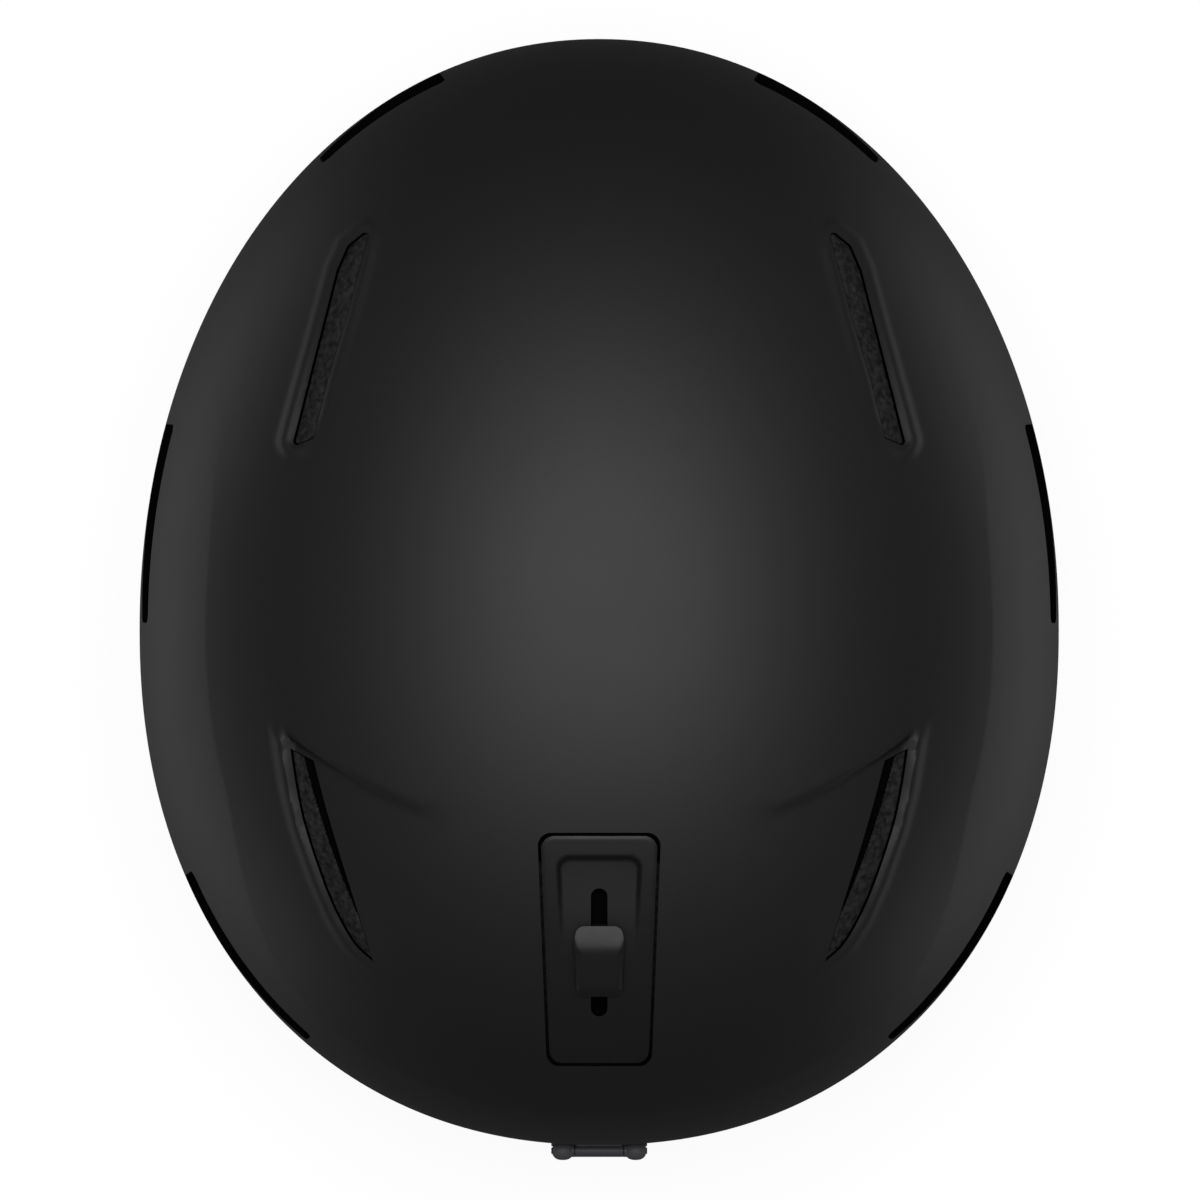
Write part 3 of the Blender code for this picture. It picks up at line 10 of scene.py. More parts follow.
import bmesh
import bpy
import numpy as np
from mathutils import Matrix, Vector, noise


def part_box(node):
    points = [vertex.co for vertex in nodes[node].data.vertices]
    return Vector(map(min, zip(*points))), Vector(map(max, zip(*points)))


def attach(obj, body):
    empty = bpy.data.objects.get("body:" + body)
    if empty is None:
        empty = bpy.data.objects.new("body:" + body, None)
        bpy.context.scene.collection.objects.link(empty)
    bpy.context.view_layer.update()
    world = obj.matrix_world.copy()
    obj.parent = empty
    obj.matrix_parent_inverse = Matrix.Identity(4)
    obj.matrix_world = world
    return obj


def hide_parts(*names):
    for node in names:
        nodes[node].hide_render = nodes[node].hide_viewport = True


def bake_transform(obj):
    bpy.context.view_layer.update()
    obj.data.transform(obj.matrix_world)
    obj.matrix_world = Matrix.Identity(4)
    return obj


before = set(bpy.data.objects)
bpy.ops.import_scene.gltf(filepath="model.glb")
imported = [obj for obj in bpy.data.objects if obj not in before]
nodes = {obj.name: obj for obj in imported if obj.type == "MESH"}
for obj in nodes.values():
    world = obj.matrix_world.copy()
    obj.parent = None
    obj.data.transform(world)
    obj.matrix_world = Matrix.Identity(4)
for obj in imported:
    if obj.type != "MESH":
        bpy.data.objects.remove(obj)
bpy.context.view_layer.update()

# %% [markdown]
# ## Measures
# The form is one rounded egg: an outline seen from above, a crown over it and a wall that tucks in below.
# The numbers repeat the CAD model's own, in metres, so a dense surface lands on the plain one. Only the
# room for the shutter is deeper here.

# %% Measures of the form
HALF_WIDTH = 0.1149
FRONT_LENGTH = 0.14775
REAR_LENGTH = 0.12875
FRONT_POWER = 2.06
REAR_POWER = 2.16
PLAN_CENTRE_Y = -0.0079
BELT_Z = 0.092
DOME_HEIGHT = 0.108
DOME_POWER = 2.2
TUCK_DEPTH = 0.115
RIM_FRONT_Z, RIM_SIDE_Z, RIM_REAR_Z = 0.084, 0.056, 0.046
SHELL_WALL = 0.0025
LINER_SEAT = 0.00325
SHUTTER_ROOM = 0.0056   # 0.9 mm more than the CAD model has, so that the shutter passes clear
CAVITY_INSET = 0.03095
MM = 0.001
TURN = 2 * math.pi
print("widest", round(2 * HALF_WIDTH / MM, 1), "mm")

# %% [markdown]
# A few functions turn these measures into points. They take whole rows at once, so a dense surface is quick
# to make, and an inset gives the same form drawn in by a wall or a gap.

# %% Functions of the form
def ramp(low, high, value):
    """0 below low, 1 above high, and a smooth rise between."""
    share = np.clip((value - low) / (high - low), 0.0, 1.0)
    return share * share * (3 - 2 * share)


def plan(azimuth, share, inset):
    """A point of the outline seen from above, drawn in by a share."""
    across, along = np.cos(azimuth), np.sin(azimuth)
    front = along >= 0
    reach = np.where(front, FRONT_LENGTH, REAR_LENGTH) - inset
    power = np.where(front, FRONT_POWER, REAR_POWER)
    x = (HALF_WIDTH - inset) * np.sign(across) * np.abs(across) ** (2 / power)
    y = reach * np.sign(along) * np.abs(along) ** (2 / power)
    return x * share, PLAN_CENTRE_Y + y * share


def crown_row(azimuth, polar, inset):
    """A row of points round the crown, from polar 0 at the top to a right angle at the belt."""
    share = np.sin(polar) ** (2 / DOME_POWER)
    lift = np.cos(polar) ** (2 / DOME_POWER)
    x, y = plan(azimuth, share, inset)
    return np.stack([x, y, BELT_Z + (DOME_HEIGHT - inset) * lift + 0 * x], axis=-1)


def wall_row(azimuth, z, inset):
    """A row of points round the wall at the heights given."""
    z = z + 0 * azimuth
    lift = np.clip((z - BELT_Z) / (DOME_HEIGHT - inset), 0.0, 1.0)
    above = (1 - lift ** DOME_POWER) ** (1 / DOME_POWER)
    below = np.sqrt(1 - (np.minimum(z - BELT_Z, 0.0) / TUCK_DEPTH) ** 2)
    x, y = plan(azimuth, above * below, inset)
    return np.stack([x, y, z], axis=-1)


def crown_z(x, y, inset=0.0):
    """The height of the crown over a point seen from above."""
    along = y - PLAN_CENTRE_Y
    reach = np.where(along >= 0, FRONT_LENGTH, REAR_LENGTH) - inset
    power = np.where(along >= 0, FRONT_POWER, REAR_POWER)
    out = (np.abs(x) / (HALF_WIDTH - inset)) ** power + (np.abs(along) / reach) ** power
    share = np.minimum(out ** (1 / power), 0.999)
    return BELT_Z + (DOME_HEIGHT - inset) * (1 - share ** DOME_POWER) ** (1 / DOME_POWER)


RIM_RISE, RIM_DROP = (0.10, 0.62), (0.55, 0.92)
SHOULDER_SHARE, SHOULDER_FRONT, SHOULDER_REAR = 0.848, 0.055, 0.088
SHOULDER_AHEAD, SHOULDER_BEHIND = (0.1, 0.6), (0.3, 0.8)


def rim_z(azimuth):
    """The height of the rim: it climbs towards the brow and drops towards the nape."""
    forward = np.sin(azimuth)
    z = RIM_SIDE_Z + (RIM_FRONT_Z - RIM_SIDE_Z) * ramp(*RIM_RISE, forward)
    return z + (RIM_REAR_Z - RIM_SIDE_Z) * ramp(*RIM_DROP, -forward)


def shoulder(azimuth):
    """The polar angle where the crown breaks into the wall."""
    forward = np.sin(azimuth)
    front, rear = ramp(*SHOULDER_AHEAD, forward), ramp(*SHOULDER_BEHIND, -forward)
    share = SHOULDER_SHARE + SHOULDER_FRONT * front + SHOULDER_REAR * rear
    return np.arcsin(share ** (DOME_POWER / 2))


print("crown at", round(float(crown_z(np.array(0.0), np.array(PLAN_CENTRE_Y))) / MM, 1), "mm")

# %% [markdown]
# ## Colours and nodes
# Colours are written as sRGB hex values, as a paint card gives them. Shaders work with linear light,
# so one function converts them. A second one adds a node with its settings and its links in one line.

# %% Colour and node helpers
def linear(code):
    """A hex colour as linear red, green, blue and alpha."""
    parts = [int(code[i:i + 2], 16) / 255 for i in (1, 3, 5)]
    return [p / 12.92 if p <= 0.04045 else ((p + 0.055) / 1.055) ** 2.4 for p in parts] + [1.0]


def new_material(name, hex_colour, roughness, **sockets):
    """A Principled material with its constant values on the shader's own sockets."""
    made = bpy.data.materials.new(name)
    made.use_nodes = True
    shader = made.node_tree.nodes["Principled BSDF"]
    shader.inputs["Base Color"].default_value = linear(hex_colour)
    shader.inputs["Roughness"].default_value = roughness
    for socket, value in sockets.items():
        shader.inputs[socket.replace("_", " ")].default_value = value
    return made, shader


def add_node(made, kind, links=None, values=None, **settings):
    """Adds one node: its settings, its socket values, and links into it by socket name or number."""
    node = made.node_tree.nodes.new(kind)
    for key, value in settings.items():
        setattr(node, key, value)
    for key, value in (values or {}).items():
        node.inputs[key].default_value = value
    for key, source in (links or {}).items():
        made.node_tree.links.new(source, node.inputs[key])
    return node


def connect(made, source, target):
    """Links one socket to another."""
    made.node_tree.links.new(source, target)


print("mid grey is", round(linear("#808080")[0], 3), "in linear light")

# %% [markdown]
# ## Soft-touch shell
# The shell is injection-moulded ABS with a soft-touch lacquer sprayed over it. The lacquer holds fine
# matting grains, so the eye gets a deep black with one wide, soft glow and no sharp reflection.
# A fine noise in the bump stands for the grain, and a broad one shifts the roughness a little,
# as handling does.

# %% Shell material
soft_touch, shader = new_material("abs_soft_touch_lacquer", "#09090a", 0.60, Specular_IOR_Level=0.45)
place = add_node(soft_touch, "ShaderNodeTexCoord").outputs["Object"]
GRAIN_MM = 0.6   # the real grain is near 0.05 mm; drawn coarser, so that it shows
HANDLED_MM = 45.0
grain = add_node(soft_touch, "ShaderNodeTexNoise", {"Vector": place},
                 {"Scale": 1000 / GRAIN_MM, "Detail": 2.0})
handled = add_node(soft_touch, "ShaderNodeTexNoise", {"Vector": place},
                   {"Scale": 1000 / HANDLED_MM, "Detail": 3.0})
rough = add_node(soft_touch, "ShaderNodeMapRange", {"Value": handled.outputs["Fac"]},
                 {"To Min": 0.575, "To Max": 0.625})
bump = add_node(soft_touch, "ShaderNodeBump", {"Height": grain.outputs["Fac"]},
                {"Strength": 0.10, "Distance": 0.05 * MM})
connect(soft_touch, rough.outputs["Result"], shader.inputs["Roughness"])
connect(soft_touch, bump.outputs["Normal"], shader.inputs["Normal"])
print("made", soft_touch.name)

# %% [markdown]
# ## Moulded nylon
# The slider, the clip, the buckle and the dial are moulded in glass-filled nylon. The mould is spark-eroded,
# which leaves a fine, even pitting: black that looks a little greyer than the shell, with a low sheen.
# The same recipe is mixed twice, in black and in dark grey.

# %% Nylon materials
PIT_MM = 0.5   # real pits are near 0.1 mm; drawn coarser, so that they show
CLOUD_MM = 8.0   # broad patches, as the melt flowed


def moulded_nylon(name, hex_colour, roughness):
    """Pitted nylon: small cells in the bump, and a cloud that shifts the roughness."""
    made, shader = new_material(name, hex_colour, roughness, Specular_IOR_Level=0.38)
    place = add_node(made, "ShaderNodeTexCoord").outputs["Object"]
    pits = add_node(made, "ShaderNodeTexVoronoi", {"Vector": place}, {"Scale": 1000 / PIT_MM})
    cloud = add_node(made, "ShaderNodeTexNoise", {"Vector": place}, {"Scale": 1000 / CLOUD_MM, "Detail": 4.0})
    rough = add_node(made, "ShaderNodeMapRange", {"Value": cloud.outputs["Fac"]},
                     {"To Min": roughness - 0.06, "To Max": roughness + 0.06})
    bump = add_node(made, "ShaderNodeBump", {"Height": pits.outputs["Distance"]},
                    {"Strength": 0.18, "Distance": 0.04 * MM})
    connect(made, rough.outputs["Result"], shader.inputs["Roughness"])
    connect(made, bump.outputs["Normal"], shader.inputs["Normal"])
    return made


nylon_black = moulded_nylon("nylon_spark_eroded_black", "#0c0c0d", 0.54)
nylon_grey = moulded_nylon("nylon_spark_eroded_grey", "#4b4b50", 0.55)
print("made", nylon_black.name, "and", nylon_grey.name)

# %% [markdown]
# ## Bead foam, vent mesh and edge trim
# The liner is expanded polystyrene: steam-fused beads about 3 mm across, each with a faint dished face
# and a sunk seam, painted darker as shade in its groove. The vent inserts are a reticulated foam, a web of
# pores about 1.6 mm across, with painted shade in the pores. The trim along the rim is an extruded
# thermoplastic rubber with a satin skin.

# %% Bead foam material
bead_foam, shader = new_material("polystyrene_fused_beads", "#1d1d1f", 0.72, Specular_IOR_Level=0.35)
place = add_node(bead_foam, "ShaderNodeTexCoord").outputs["Object"]
BEAD_MM = 3.0
seams = add_node(bead_foam, "ShaderNodeTexVoronoi", {"Vector": place}, {"Scale": 1000 / BEAD_MM},
                 feature="DISTANCE_TO_EDGE")
edge = add_node(bead_foam, "ShaderNodeMapRange", {"Value": seams.outputs["Distance"]}, {"From Max": 0.12})
# Painted shade: the colour darkens towards each seam, the same groove that the bump sinks.
tone = add_node(bead_foam, "ShaderNodeValToRGB", {"Fac": edge.outputs["Result"]})
tone.color_ramp.elements[0].color = linear("#1a1a1b")
tone.color_ramp.elements[1].color = linear("#323235")
bump = add_node(bead_foam, "ShaderNodeBump", {"Height": edge.outputs["Result"]},
                {"Strength": 0.45, "Distance": 0.15 * MM})
connect(bead_foam, tone.outputs["Color"], shader.inputs["Base Color"])
connect(bead_foam, bump.outputs["Normal"], shader.inputs["Normal"])
print("made", bead_foam.name)

# %% Vent foam material
vent_foam, shader = new_material("polyurethane_reticulated_foam", "#262628", 0.8, Specular_IOR_Level=0.3)
place = add_node(vent_foam, "ShaderNodeTexCoord").outputs["Object"]
PORE_MM = 1.6
pores = add_node(vent_foam, "ShaderNodeTexNoise", {"Vector": place},
                 {"Scale": 1000 / PORE_MM, "Detail": 3.0, "Roughness": 0.55})
# Painted shade: the sunk pores are coloured near black, and the raised web keeps the foam's dark grey.
tone = add_node(vent_foam, "ShaderNodeValToRGB", {"Fac": pores.outputs["Fac"]})
tone.color_ramp.elements[0].position, tone.color_ramp.elements[0].color = 0.34, linear("#070707")
tone.color_ramp.elements[1].position, tone.color_ramp.elements[1].color = 0.70, linear("#2b2b2c")
bump = add_node(vent_foam, "ShaderNodeBump", {"Height": pores.outputs["Fac"]},
                {"Strength": 0.7, "Distance": 0.6 * MM})
connect(vent_foam, tone.outputs["Color"], shader.inputs["Base Color"])
connect(vent_foam, bump.outputs["Normal"], shader.inputs["Normal"])
print("made", vent_foam.name)

# %% Edge rubber material
edge_rubber, shader = new_material("thermoplastic_rubber_extruded", "#141414", 0.6, Specular_IOR_Level=0.4)
place = add_node(edge_rubber, "ShaderNodeTexCoord").outputs["Object"]
DRAWN_MM = 1.2   # the skin's unevenness is finer in life; drawn coarser, so that it shows
drawn = add_node(edge_rubber, "ShaderNodeTexNoise", {"Vector": place},
                 {"Scale": 1000 / DRAWN_MM, "Detail": 2.0})
bump = add_node(edge_rubber, "ShaderNodeBump", {"Height": drawn.outputs["Fac"]},
                {"Strength": 0.12, "Distance": 0.05 * MM})
connect(edge_rubber, bump.outputs["Normal"], shader.inputs["Normal"])
print("made", edge_rubber.name)

# %% [markdown]
# ## Brushed knit, webbing and steel
# The pads are covered in a brushed polyester knit: small even loops, and a nap that catches light at a
# glance, which is what the sheen sockets are for. The straps are woven polyester, with thread crossings
# about 1 mm apart. Both are drawn as cells in space, which look alike on a face of any direction, where
# straight waves would smear. The dial's screw is zinc-plated steel, and the clip's pin is blackened.

# %% Textile materials
LOOP_MM = 1.3     # a real loop is near 0.8 mm; drawn coarser, so that it shows
CROSSING_MM = 1.0
NAP_MM = 0.9      # tufts of the nap; its single fibres are too fine to show


def textile(name, dark, light, cell_mm, depth_mm, sheen):
    """Small cells, raised in their middles and broken by noise, drive the bump, and the colour darkens where
    they sink: painted shade in the hollows.
    """
    made, shader = new_material(name, dark, 0.92, Specular_IOR_Level=0.2, Sheen_Weight=sheen,
                                Sheen_Roughness=0.4, Sheen_Tint=linear("#6a6a70"))
    place = add_node(made, "ShaderNodeTexCoord").outputs["Object"]
    cells = add_node(made, "ShaderNodeTexVoronoi", {"Vector": place},
                     {"Scale": 1000 / cell_mm, "Randomness": 0.35})
    nap = add_node(made, "ShaderNodeTexNoise", {"Vector": place}, {"Scale": 1000 / NAP_MM, "Detail": 3.0})
    sunk = add_node(made, "ShaderNodeMath", {0: cells.outputs["Distance"], 1: nap.outputs["Fac"]},
                    operation="ADD")
    # Painted shade: the colour runs from the light tone on the raised loops to the dark tone in the sunk
    # hollows.
    tone = add_node(made, "ShaderNodeValToRGB", {"Fac": sunk.outputs["Value"]})
    tone.color_ramp.elements[0].position, tone.color_ramp.elements[0].color = 0.55, linear(light)
    tone.color_ramp.elements[1].position, tone.color_ramp.elements[1].color = 1.0, linear(dark)
    bump = add_node(made, "ShaderNodeBump", {"Height": sunk.outputs["Value"]},
                    {"Strength": 0.6, "Distance": depth_mm * MM}, invert=True)
    connect(made, tone.outputs["Color"], shader.inputs["Base Color"])
    connect(made, bump.outputs["Normal"], shader.inputs["Normal"])
    return made


brushed_knit = textile("polyester_brushed_knit", "#4a4a50", "#7b7b84", LOOP_MM, 0.25, 0.35)
webbing = textile("polyester_woven_webbing", "#2c2c30", "#5a5a61", CROSSING_MM, 0.3, 0.12)
print("made", brushed_knit.name, webbing.name)

# %% Steel materials
STREAK_MM = 0.7   # drawing marks are finer in life; drawn coarser, and as specks that run no one way


def steel(name, hex_colour, roughness):
    """A drawn steel: a fine noise, in place of its streaks, shifts its roughness."""
    made, shader = new_material(name, hex_colour, roughness, Metallic=1.0)
    place = add_node(made, "ShaderNodeTexCoord").outputs["Object"]
    streak = add_node(made, "ShaderNodeTexNoise", {"Vector": place},
                      {"Scale": 1000 / STREAK_MM, "Detail": 3.0})
    rough = add_node(made, "ShaderNodeMapRange", {"Value": streak.outputs["Fac"]},
                     {"To Min": roughness - 0.08, "To Max": roughness + 0.08})
    connect(made, rough.outputs["Result"], shader.inputs["Roughness"])
    return made


plated_steel = steel("steel_zinc_plated", "#c4c6c8", 0.34)
black_steel = steel("steel_black_oxide", "#2e2e30", 0.5)
print("made", plated_steel.name, black_steel.name)

# %% [markdown]
# ## Stacked rows
# Nearly every piece here is a skin round something: a dome, a ring, a cushion or a strap. Each can be built
# as a stack of closed rows of points, with a cap at both ends. One function joins the rows with four-sided
# faces, so the meshes stay closed and even.

# %% Stacked rows
def stacked(name, rows, loop=False):
    """A closed mesh through rows of points: caps at both ends, or joined end to end as a ring."""
    rows = [np.asarray(row, float) for row in rows]
    count, around = len(rows), len(rows[0])
    points = np.concatenate(rows)
    index = np.arange(count * around).reshape(count, around)
    after = np.roll(index, -1, axis=1)
    below = np.roll(index, -1, axis=0) if loop else index[1:]
    below_after = np.roll(after, -1, axis=0) if loop else after[1:]
    upper, upper_after = (index, after) if loop else (index[:-1], after[:-1])
    quads = np.stack([upper, below, below_after, upper_after], axis=-1).reshape(-1, 4)
    faces = quads.tolist()
    if not loop:
        top, foot = len(points), len(points) + 1
        points = np.concatenate([points, rows[0].mean(0)[None], rows[-1].mean(0)[None]])
        faces += [[top, a, b] for a, b in zip(index[0].tolist(), after[0].tolist())]
        faces += [[foot, b, a] for a, b in zip(index[-1].tolist(), after[-1].tolist())]
    mesh = bpy.data.meshes.new(name)
    mesh.from_pydata(points.tolist(), [], faces)
    bm = bmesh.new()
    bm.from_mesh(mesh)
    bmesh.ops.recalc_face_normals(bm, faces=bm.faces)
    bm.to_mesh(mesh)
    bm.free()
    return mesh


def new_piece(name, mesh):
    """An object in the scene with this mesh."""
    piece = bpy.data.objects.new(name, mesh)
    bpy.context.scene.collection.objects.link(piece)
    return piece

# %% [markdown]
# ## Camera
# The photograph looks straight down on the helmet, with its front at the top. A long lens far above
# keeps the outline nearly free of perspective, and frames 300 mm across the widest level.

# %% Camera
FIELD = 0.300
FAR = 10.0
AIM_X, AIM_Y = 0.0002, -0.0004
lens = bpy.data.cameras.new("camera")
lens.sensor_width = 36.0
lens.lens = lens.sensor_width * FAR / FIELD
lens.clip_end = 4 * FAR
camera = bpy.data.objects.new("camera", lens)
camera.location = (AIM_X, AIM_Y, BELT_Z + FAR)
bpy.context.scene.collection.objects.link(camera)
bpy.context.scene.camera = camera
print("lens", round(lens.lens), "mm at", FAR, "m")

# %% [markdown]
# ## Vent recesses
# Each vent is framed on its outer side by a low raised rim: a steep dark flank outside, a crest, and a bevel
# that drops into the slot and catches the light. On its inner side the crown flows straight into the slot,
# and at the rear vents it first steps down along a soft crease. A height that depends only on where a point
# lies, seen from above, is easy to shape: each flank is one smooth ramp over the distance from a drawn line.

# %% Vent outlines
FRONT_OUTER = [(-0.0763, 0.0374), (-0.0652, 0.0815), (-0.0625, 0.0877), (-0.0566, 0.0924)]
FRONT_INNER = [(-0.0566, 0.0924), (-0.0624, 0.0704), (-0.0671, 0.0546), (-0.0708, 0.0397)]
REAR_OUTER = [(-0.0766, -0.0372), (-0.0752, -0.0466), (-0.0731, -0.0564), (-0.0687, -0.0698),
              (-0.0648, -0.0790), (-0.0606, -0.0860), (-0.0561, -0.0902)]
REAR_INNER = [(-0.0708, -0.0402), (-0.0678, -0.0517), (-0.0643, -0.0636), (-0.0606, -0.0754),
              (-0.0561, -0.0902)]
SLOT_ROUND = 0.9 * MM


def smooth(line, steps=5):
    """A curve through the points of a line, with even steps between each pair."""
    line = np.asarray(line, float)
    padded = np.vstack([2 * line[0] - line[1], line, 2 * line[-1] - line[-2]])
    curve = []
    for before, here, there, after in zip(padded, padded[1:], padded[2:], padded[3:]):
        for t in np.arange(steps) / steps:
            pull, push = (there - before) / 2, (after - here) / 2
            rise = 3 * t ** 2 - 2 * t ** 3
            spot = here + (there - here) * rise + pull * (t - 2 * t ** 2 + t ** 3)
            curve.append(spot + push * (t ** 3 - t ** 2))
    return [tuple(spot) for spot in curve] + [tuple(line[-1])]


def rounded(corners, radius, steps=6):
    """The outline with an arc at each corner."""
    result = []
    for i, corner in enumerate(corners):
        here = Vector(corner)
        before = (Vector(corners[i - 1]) - here).normalized()
        after = (Vector(corners[(i + 1) % len(corners)]) - here).normalized()
        half = before.angle(after) / 2
        middle = here + (before + after).normalized() * radius / math.sin(half)
        start, end = here + before * radius / math.tan(half), here + after * radius / math.tan(half)
        for step in range(steps + 1):
            arm = start.lerp(end, step / steps) - middle
            result.append(tuple(middle + arm.normalized() * radius))
    return result


front_slot = rounded(FRONT_OUTER + FRONT_INNER[1:], SLOT_ROUND, steps=4)
rear_slot = smooth(REAR_OUTER) + smooth(REAR_INNER)[-2::-1]
print("slot outlines of", len(front_slot), "and", len(rear_slot), "points")

# %% [markdown]
# Two signed distances do the shaping: how far a point lies from a drawn line, and how far inside an outline.
# Lines that frame a slot run on past its ends, so that the distance keeps its sign there.

# %% Distances
def from_line(x, y, line):
    """Signed distance from a line of points: positive on its left as it is walked."""
    nearest = np.full(np.shape(x), np.inf)
    side = np.ones(np.shape(x))
    for (ax, ay), (bx, by) in zip(line, line[1:]):
        dx, dy = bx - ax, by - ay
        along = np.clip(((x - ax) * dx + (y - ay) * dy) / (dx * dx + dy * dy), 0.0, 1.0)
        gap = np.hypot(x - ax - along * dx, y - ay - along * dy)
        closer = gap < nearest - 1e-9
        nearest = np.where(closer, gap, nearest)
        side = np.where(closer, np.sign(dx * (y - ay) - dy * (x - ax)), side)
    return nearest * side


def inside_of(x, y, loop):
    """Signed distance inside a closed outline: positive within it."""
    within = np.zeros(np.shape(x), bool)
    for (ax, ay), (bx, by) in zip(loop, loop[1:] + loop[:1]):
        if ay != by:
            within ^= ((ay > y) != (by > y)) & (x < (bx - ax) * (y - ay) / (by - ay) + ax)
    return np.abs(from_line(x, y, loop + loop[:1])) * np.where(within, 1, -1)


FRONT_SIDE = [(-0.0540, 0.1024)] + FRONT_INNER + [(-0.0746, 0.0250)]
REAR_SIDE = [(-0.0739, -0.0285)] + REAR_INNER + [(-0.0536, -0.0985)]
REAR_RIM = [(-0.0778, -0.0290)] + REAR_OUTER + [(-0.0500, -0.0945)]
REAR_END = [(-0.0300, -0.0552), (-0.0443, -0.0517), (-0.0620, -0.0436), (-0.0801, -0.0319),
            (-0.0950, -0.0210)]
rear_crease = smooth(REAR_END)
print("crease of", len(rear_crease), "points")

# %% [markdown]
# A rim is a rise and a fall over such a distance. Along the helmet it grows, shrinks and turns in between
# two values of y. Heights and widths are in millimetres: what a rim has everywhere, and what its wide end
# adds.

# %% Front vents
RIM_CREST = 1.8 * MM
RIM_BEVEL = (0.2 * MM, 0.1 * MM)
FRONT_WIDE, FRONT_CORNER = (0.034, 0.080), (0.0370, 0.0425)
FRONT_FLOW_STARTS, FRONT_FLOW_ENDS = (0.036, 0.046), (0.084, 0.093)
FRONT_RIM_MM, FRONT_RIM_MORE_MM = 0.55, 0.60
FRONT_FLANK_MM, FRONT_FLANK_MORE_MM = 3.8, 1.2
FRONT_FLOW_MM, FRONT_FLOW_ACROSS, FRONT_FLOW_NEAR = 0.8, (-1.0 * MM, 4.5 * MM), (-5.0 * MM, -2.5 * MM)
FRONT_OUTER_MM, FRONT_TURN_MM, FRONT_OUTER_END = -1.0, -5.0, 0.8 * MM


def flanks(across, reach):
    """The two sides of a rim along a line: how far the outer flank has risen, and the bevel fallen."""
    rise = ramp(0, 1, (across + reach) / (reach - RIM_CREST))
    return rise, ramp(-RIM_CREST + RIM_BEVEL[0], RIM_BEVEL[1], across)


def front_recess(x, y):
    """Depth of the crown round the front vents: a rim on the outer side, which turns in behind the slot."""
    x = -np.abs(x)
    inner, slot = from_line(x, y, FRONT_SIDE), inside_of(x, y, front_slot)
    wide, end = 1 - ramp(*FRONT_WIDE, y), 1 - ramp(*FRONT_CORNER, y)
    outer = 1 - ramp((FRONT_OUTER_MM + FRONT_TURN_MM * end) * MM, FRONT_OUTER_END, inner)
    rise, fall = flanks(slot, (FRONT_FLANK_MM + FRONT_FLANK_MORE_MM * wide) * MM)
    rim = (FRONT_RIM_MM + FRONT_RIM_MORE_MM * wide) * MM * rise * (1 - fall) * outer
    flow = FRONT_FLOW_MM * MM * (1 - ramp(*FRONT_FLOW_ACROSS, inner))
    flow = flow * ramp(*FRONT_FLOW_NEAR, slot) * (1 - outer)
    return flow * ramp(*FRONT_FLOW_STARTS, y) * (1 - ramp(*FRONT_FLOW_ENDS, y)) - rim


print("front rim", round(-float(front_recess(np.array(-0.0752), np.array(0.0500))) / MM, 2), "mm high")

# %% Rear vents
REAR_TAIL, REAR_WIDE, REAR_FLOW = (-0.0985, -0.080), (-0.080, -0.036), (-0.085, -0.042)
REAR_FLOW_MM, REAR_FLOW_MORE_MM = 7, 35
REAR_FLANK_MM, REAR_FLANK_MORE_MM = 4.0, 1.2
REAR_STEP_MM, REAR_STEP_MORE_MM = 0.5, 1.6
REAR_RIM_MM, REAR_RIM_MORE_MM = 0.5, 0.45
REAR_STEP_ACROSS, REAR_RIM_STARTS = (-0.3 * MM, 1.8 * MM), (-0.6 * MM, 1.4 * MM)


def rear_recess(x, y):
    """Depth of the crown round the rear vents, with the crease that runs in from their front corner."""
    x = -np.abs(x)
    end = from_line(x, y, rear_crease)
    inner = from_line(x, y, REAR_SIDE)
    tail, wide = ramp(*REAR_TAIL, y), ramp(*REAR_WIDE, y)
    flow = (REAR_FLOW_MM + REAR_FLOW_MORE_MM * ramp(*REAR_FLOW, y)) * MM
    rise, fall = flanks(from_line(x, y, REAR_RIM), (REAR_FLANK_MM + REAR_FLANK_MORE_MM * wide) * MM)
    sunk = (REAR_STEP_MM + REAR_STEP_MORE_MM * wide) * MM * ramp(*REAR_STEP_ACROSS, end)
    sunk = sunk * (1 - ramp(0, 1, inner / flow)) * tail * fall
    rim = (REAR_RIM_MM + REAR_RIM_MORE_MM * wide) * MM * rise * (1 - fall) * tail
    return sunk - rim * ramp(*REAR_RIM_STARTS, end)


def recess(x, y):
    """Depth of the crown anywhere: the front vents ahead of the middle, and the rear vents behind it."""
    return front_recess(x, y) * (y > 0) + rear_recess(x, y) * (y <= 0)


print("rear step", round(float(rear_recess(np.array(-0.0640), np.array(-0.0520))) / MM, 2), "mm deep")

# %% [markdown]
# ## Shell
# The shell is a moulded skin 2.5 mm thick. It could be made with a subdivision cage, but the recesses and
# the crease where crown meets wall are easier to hold with a dense grid: columns round the helmet, closer
# together at the vents, and rows from crown to rim. Slots and slits are cut through with one Boolean.

# %% Shell surface
def spread(stops):
    """Values that run through stops given as (start, end, spacing)."""
    runs = [np.linspace(a, b, max(int(round((b - a) / step)), 1), endpoint=False) for a, b, step in stops]
    return np.concatenate(runs)


columns = np.radians(spread([(-15, 20, 1.25), (20, 58, 0.42), (58, 122, 1.28), (122, 160, 0.42),
                             (160, 195, 1.25), (195, 237, 0.42), (237, 303, 1.1), (303, 345, 0.42)]))
crown_steps = spread([(0.012, 0.42, 0.024), (0.42, 0.60, 0.012), (0.60, 0.965, 0.0068), (0.965, 1.0, 0.006)])
wall_steps = np.concatenate([spread([(0.0, 0.14, 0.0095), (0.14, 1.0, 0.028)]), [1.0]])
CREASE_FADE = (0.12, 0.48)
CREASE = 0.5 * MM
CREASE_REACH = 21 * MM
CROWN_RADIUS = 0.115


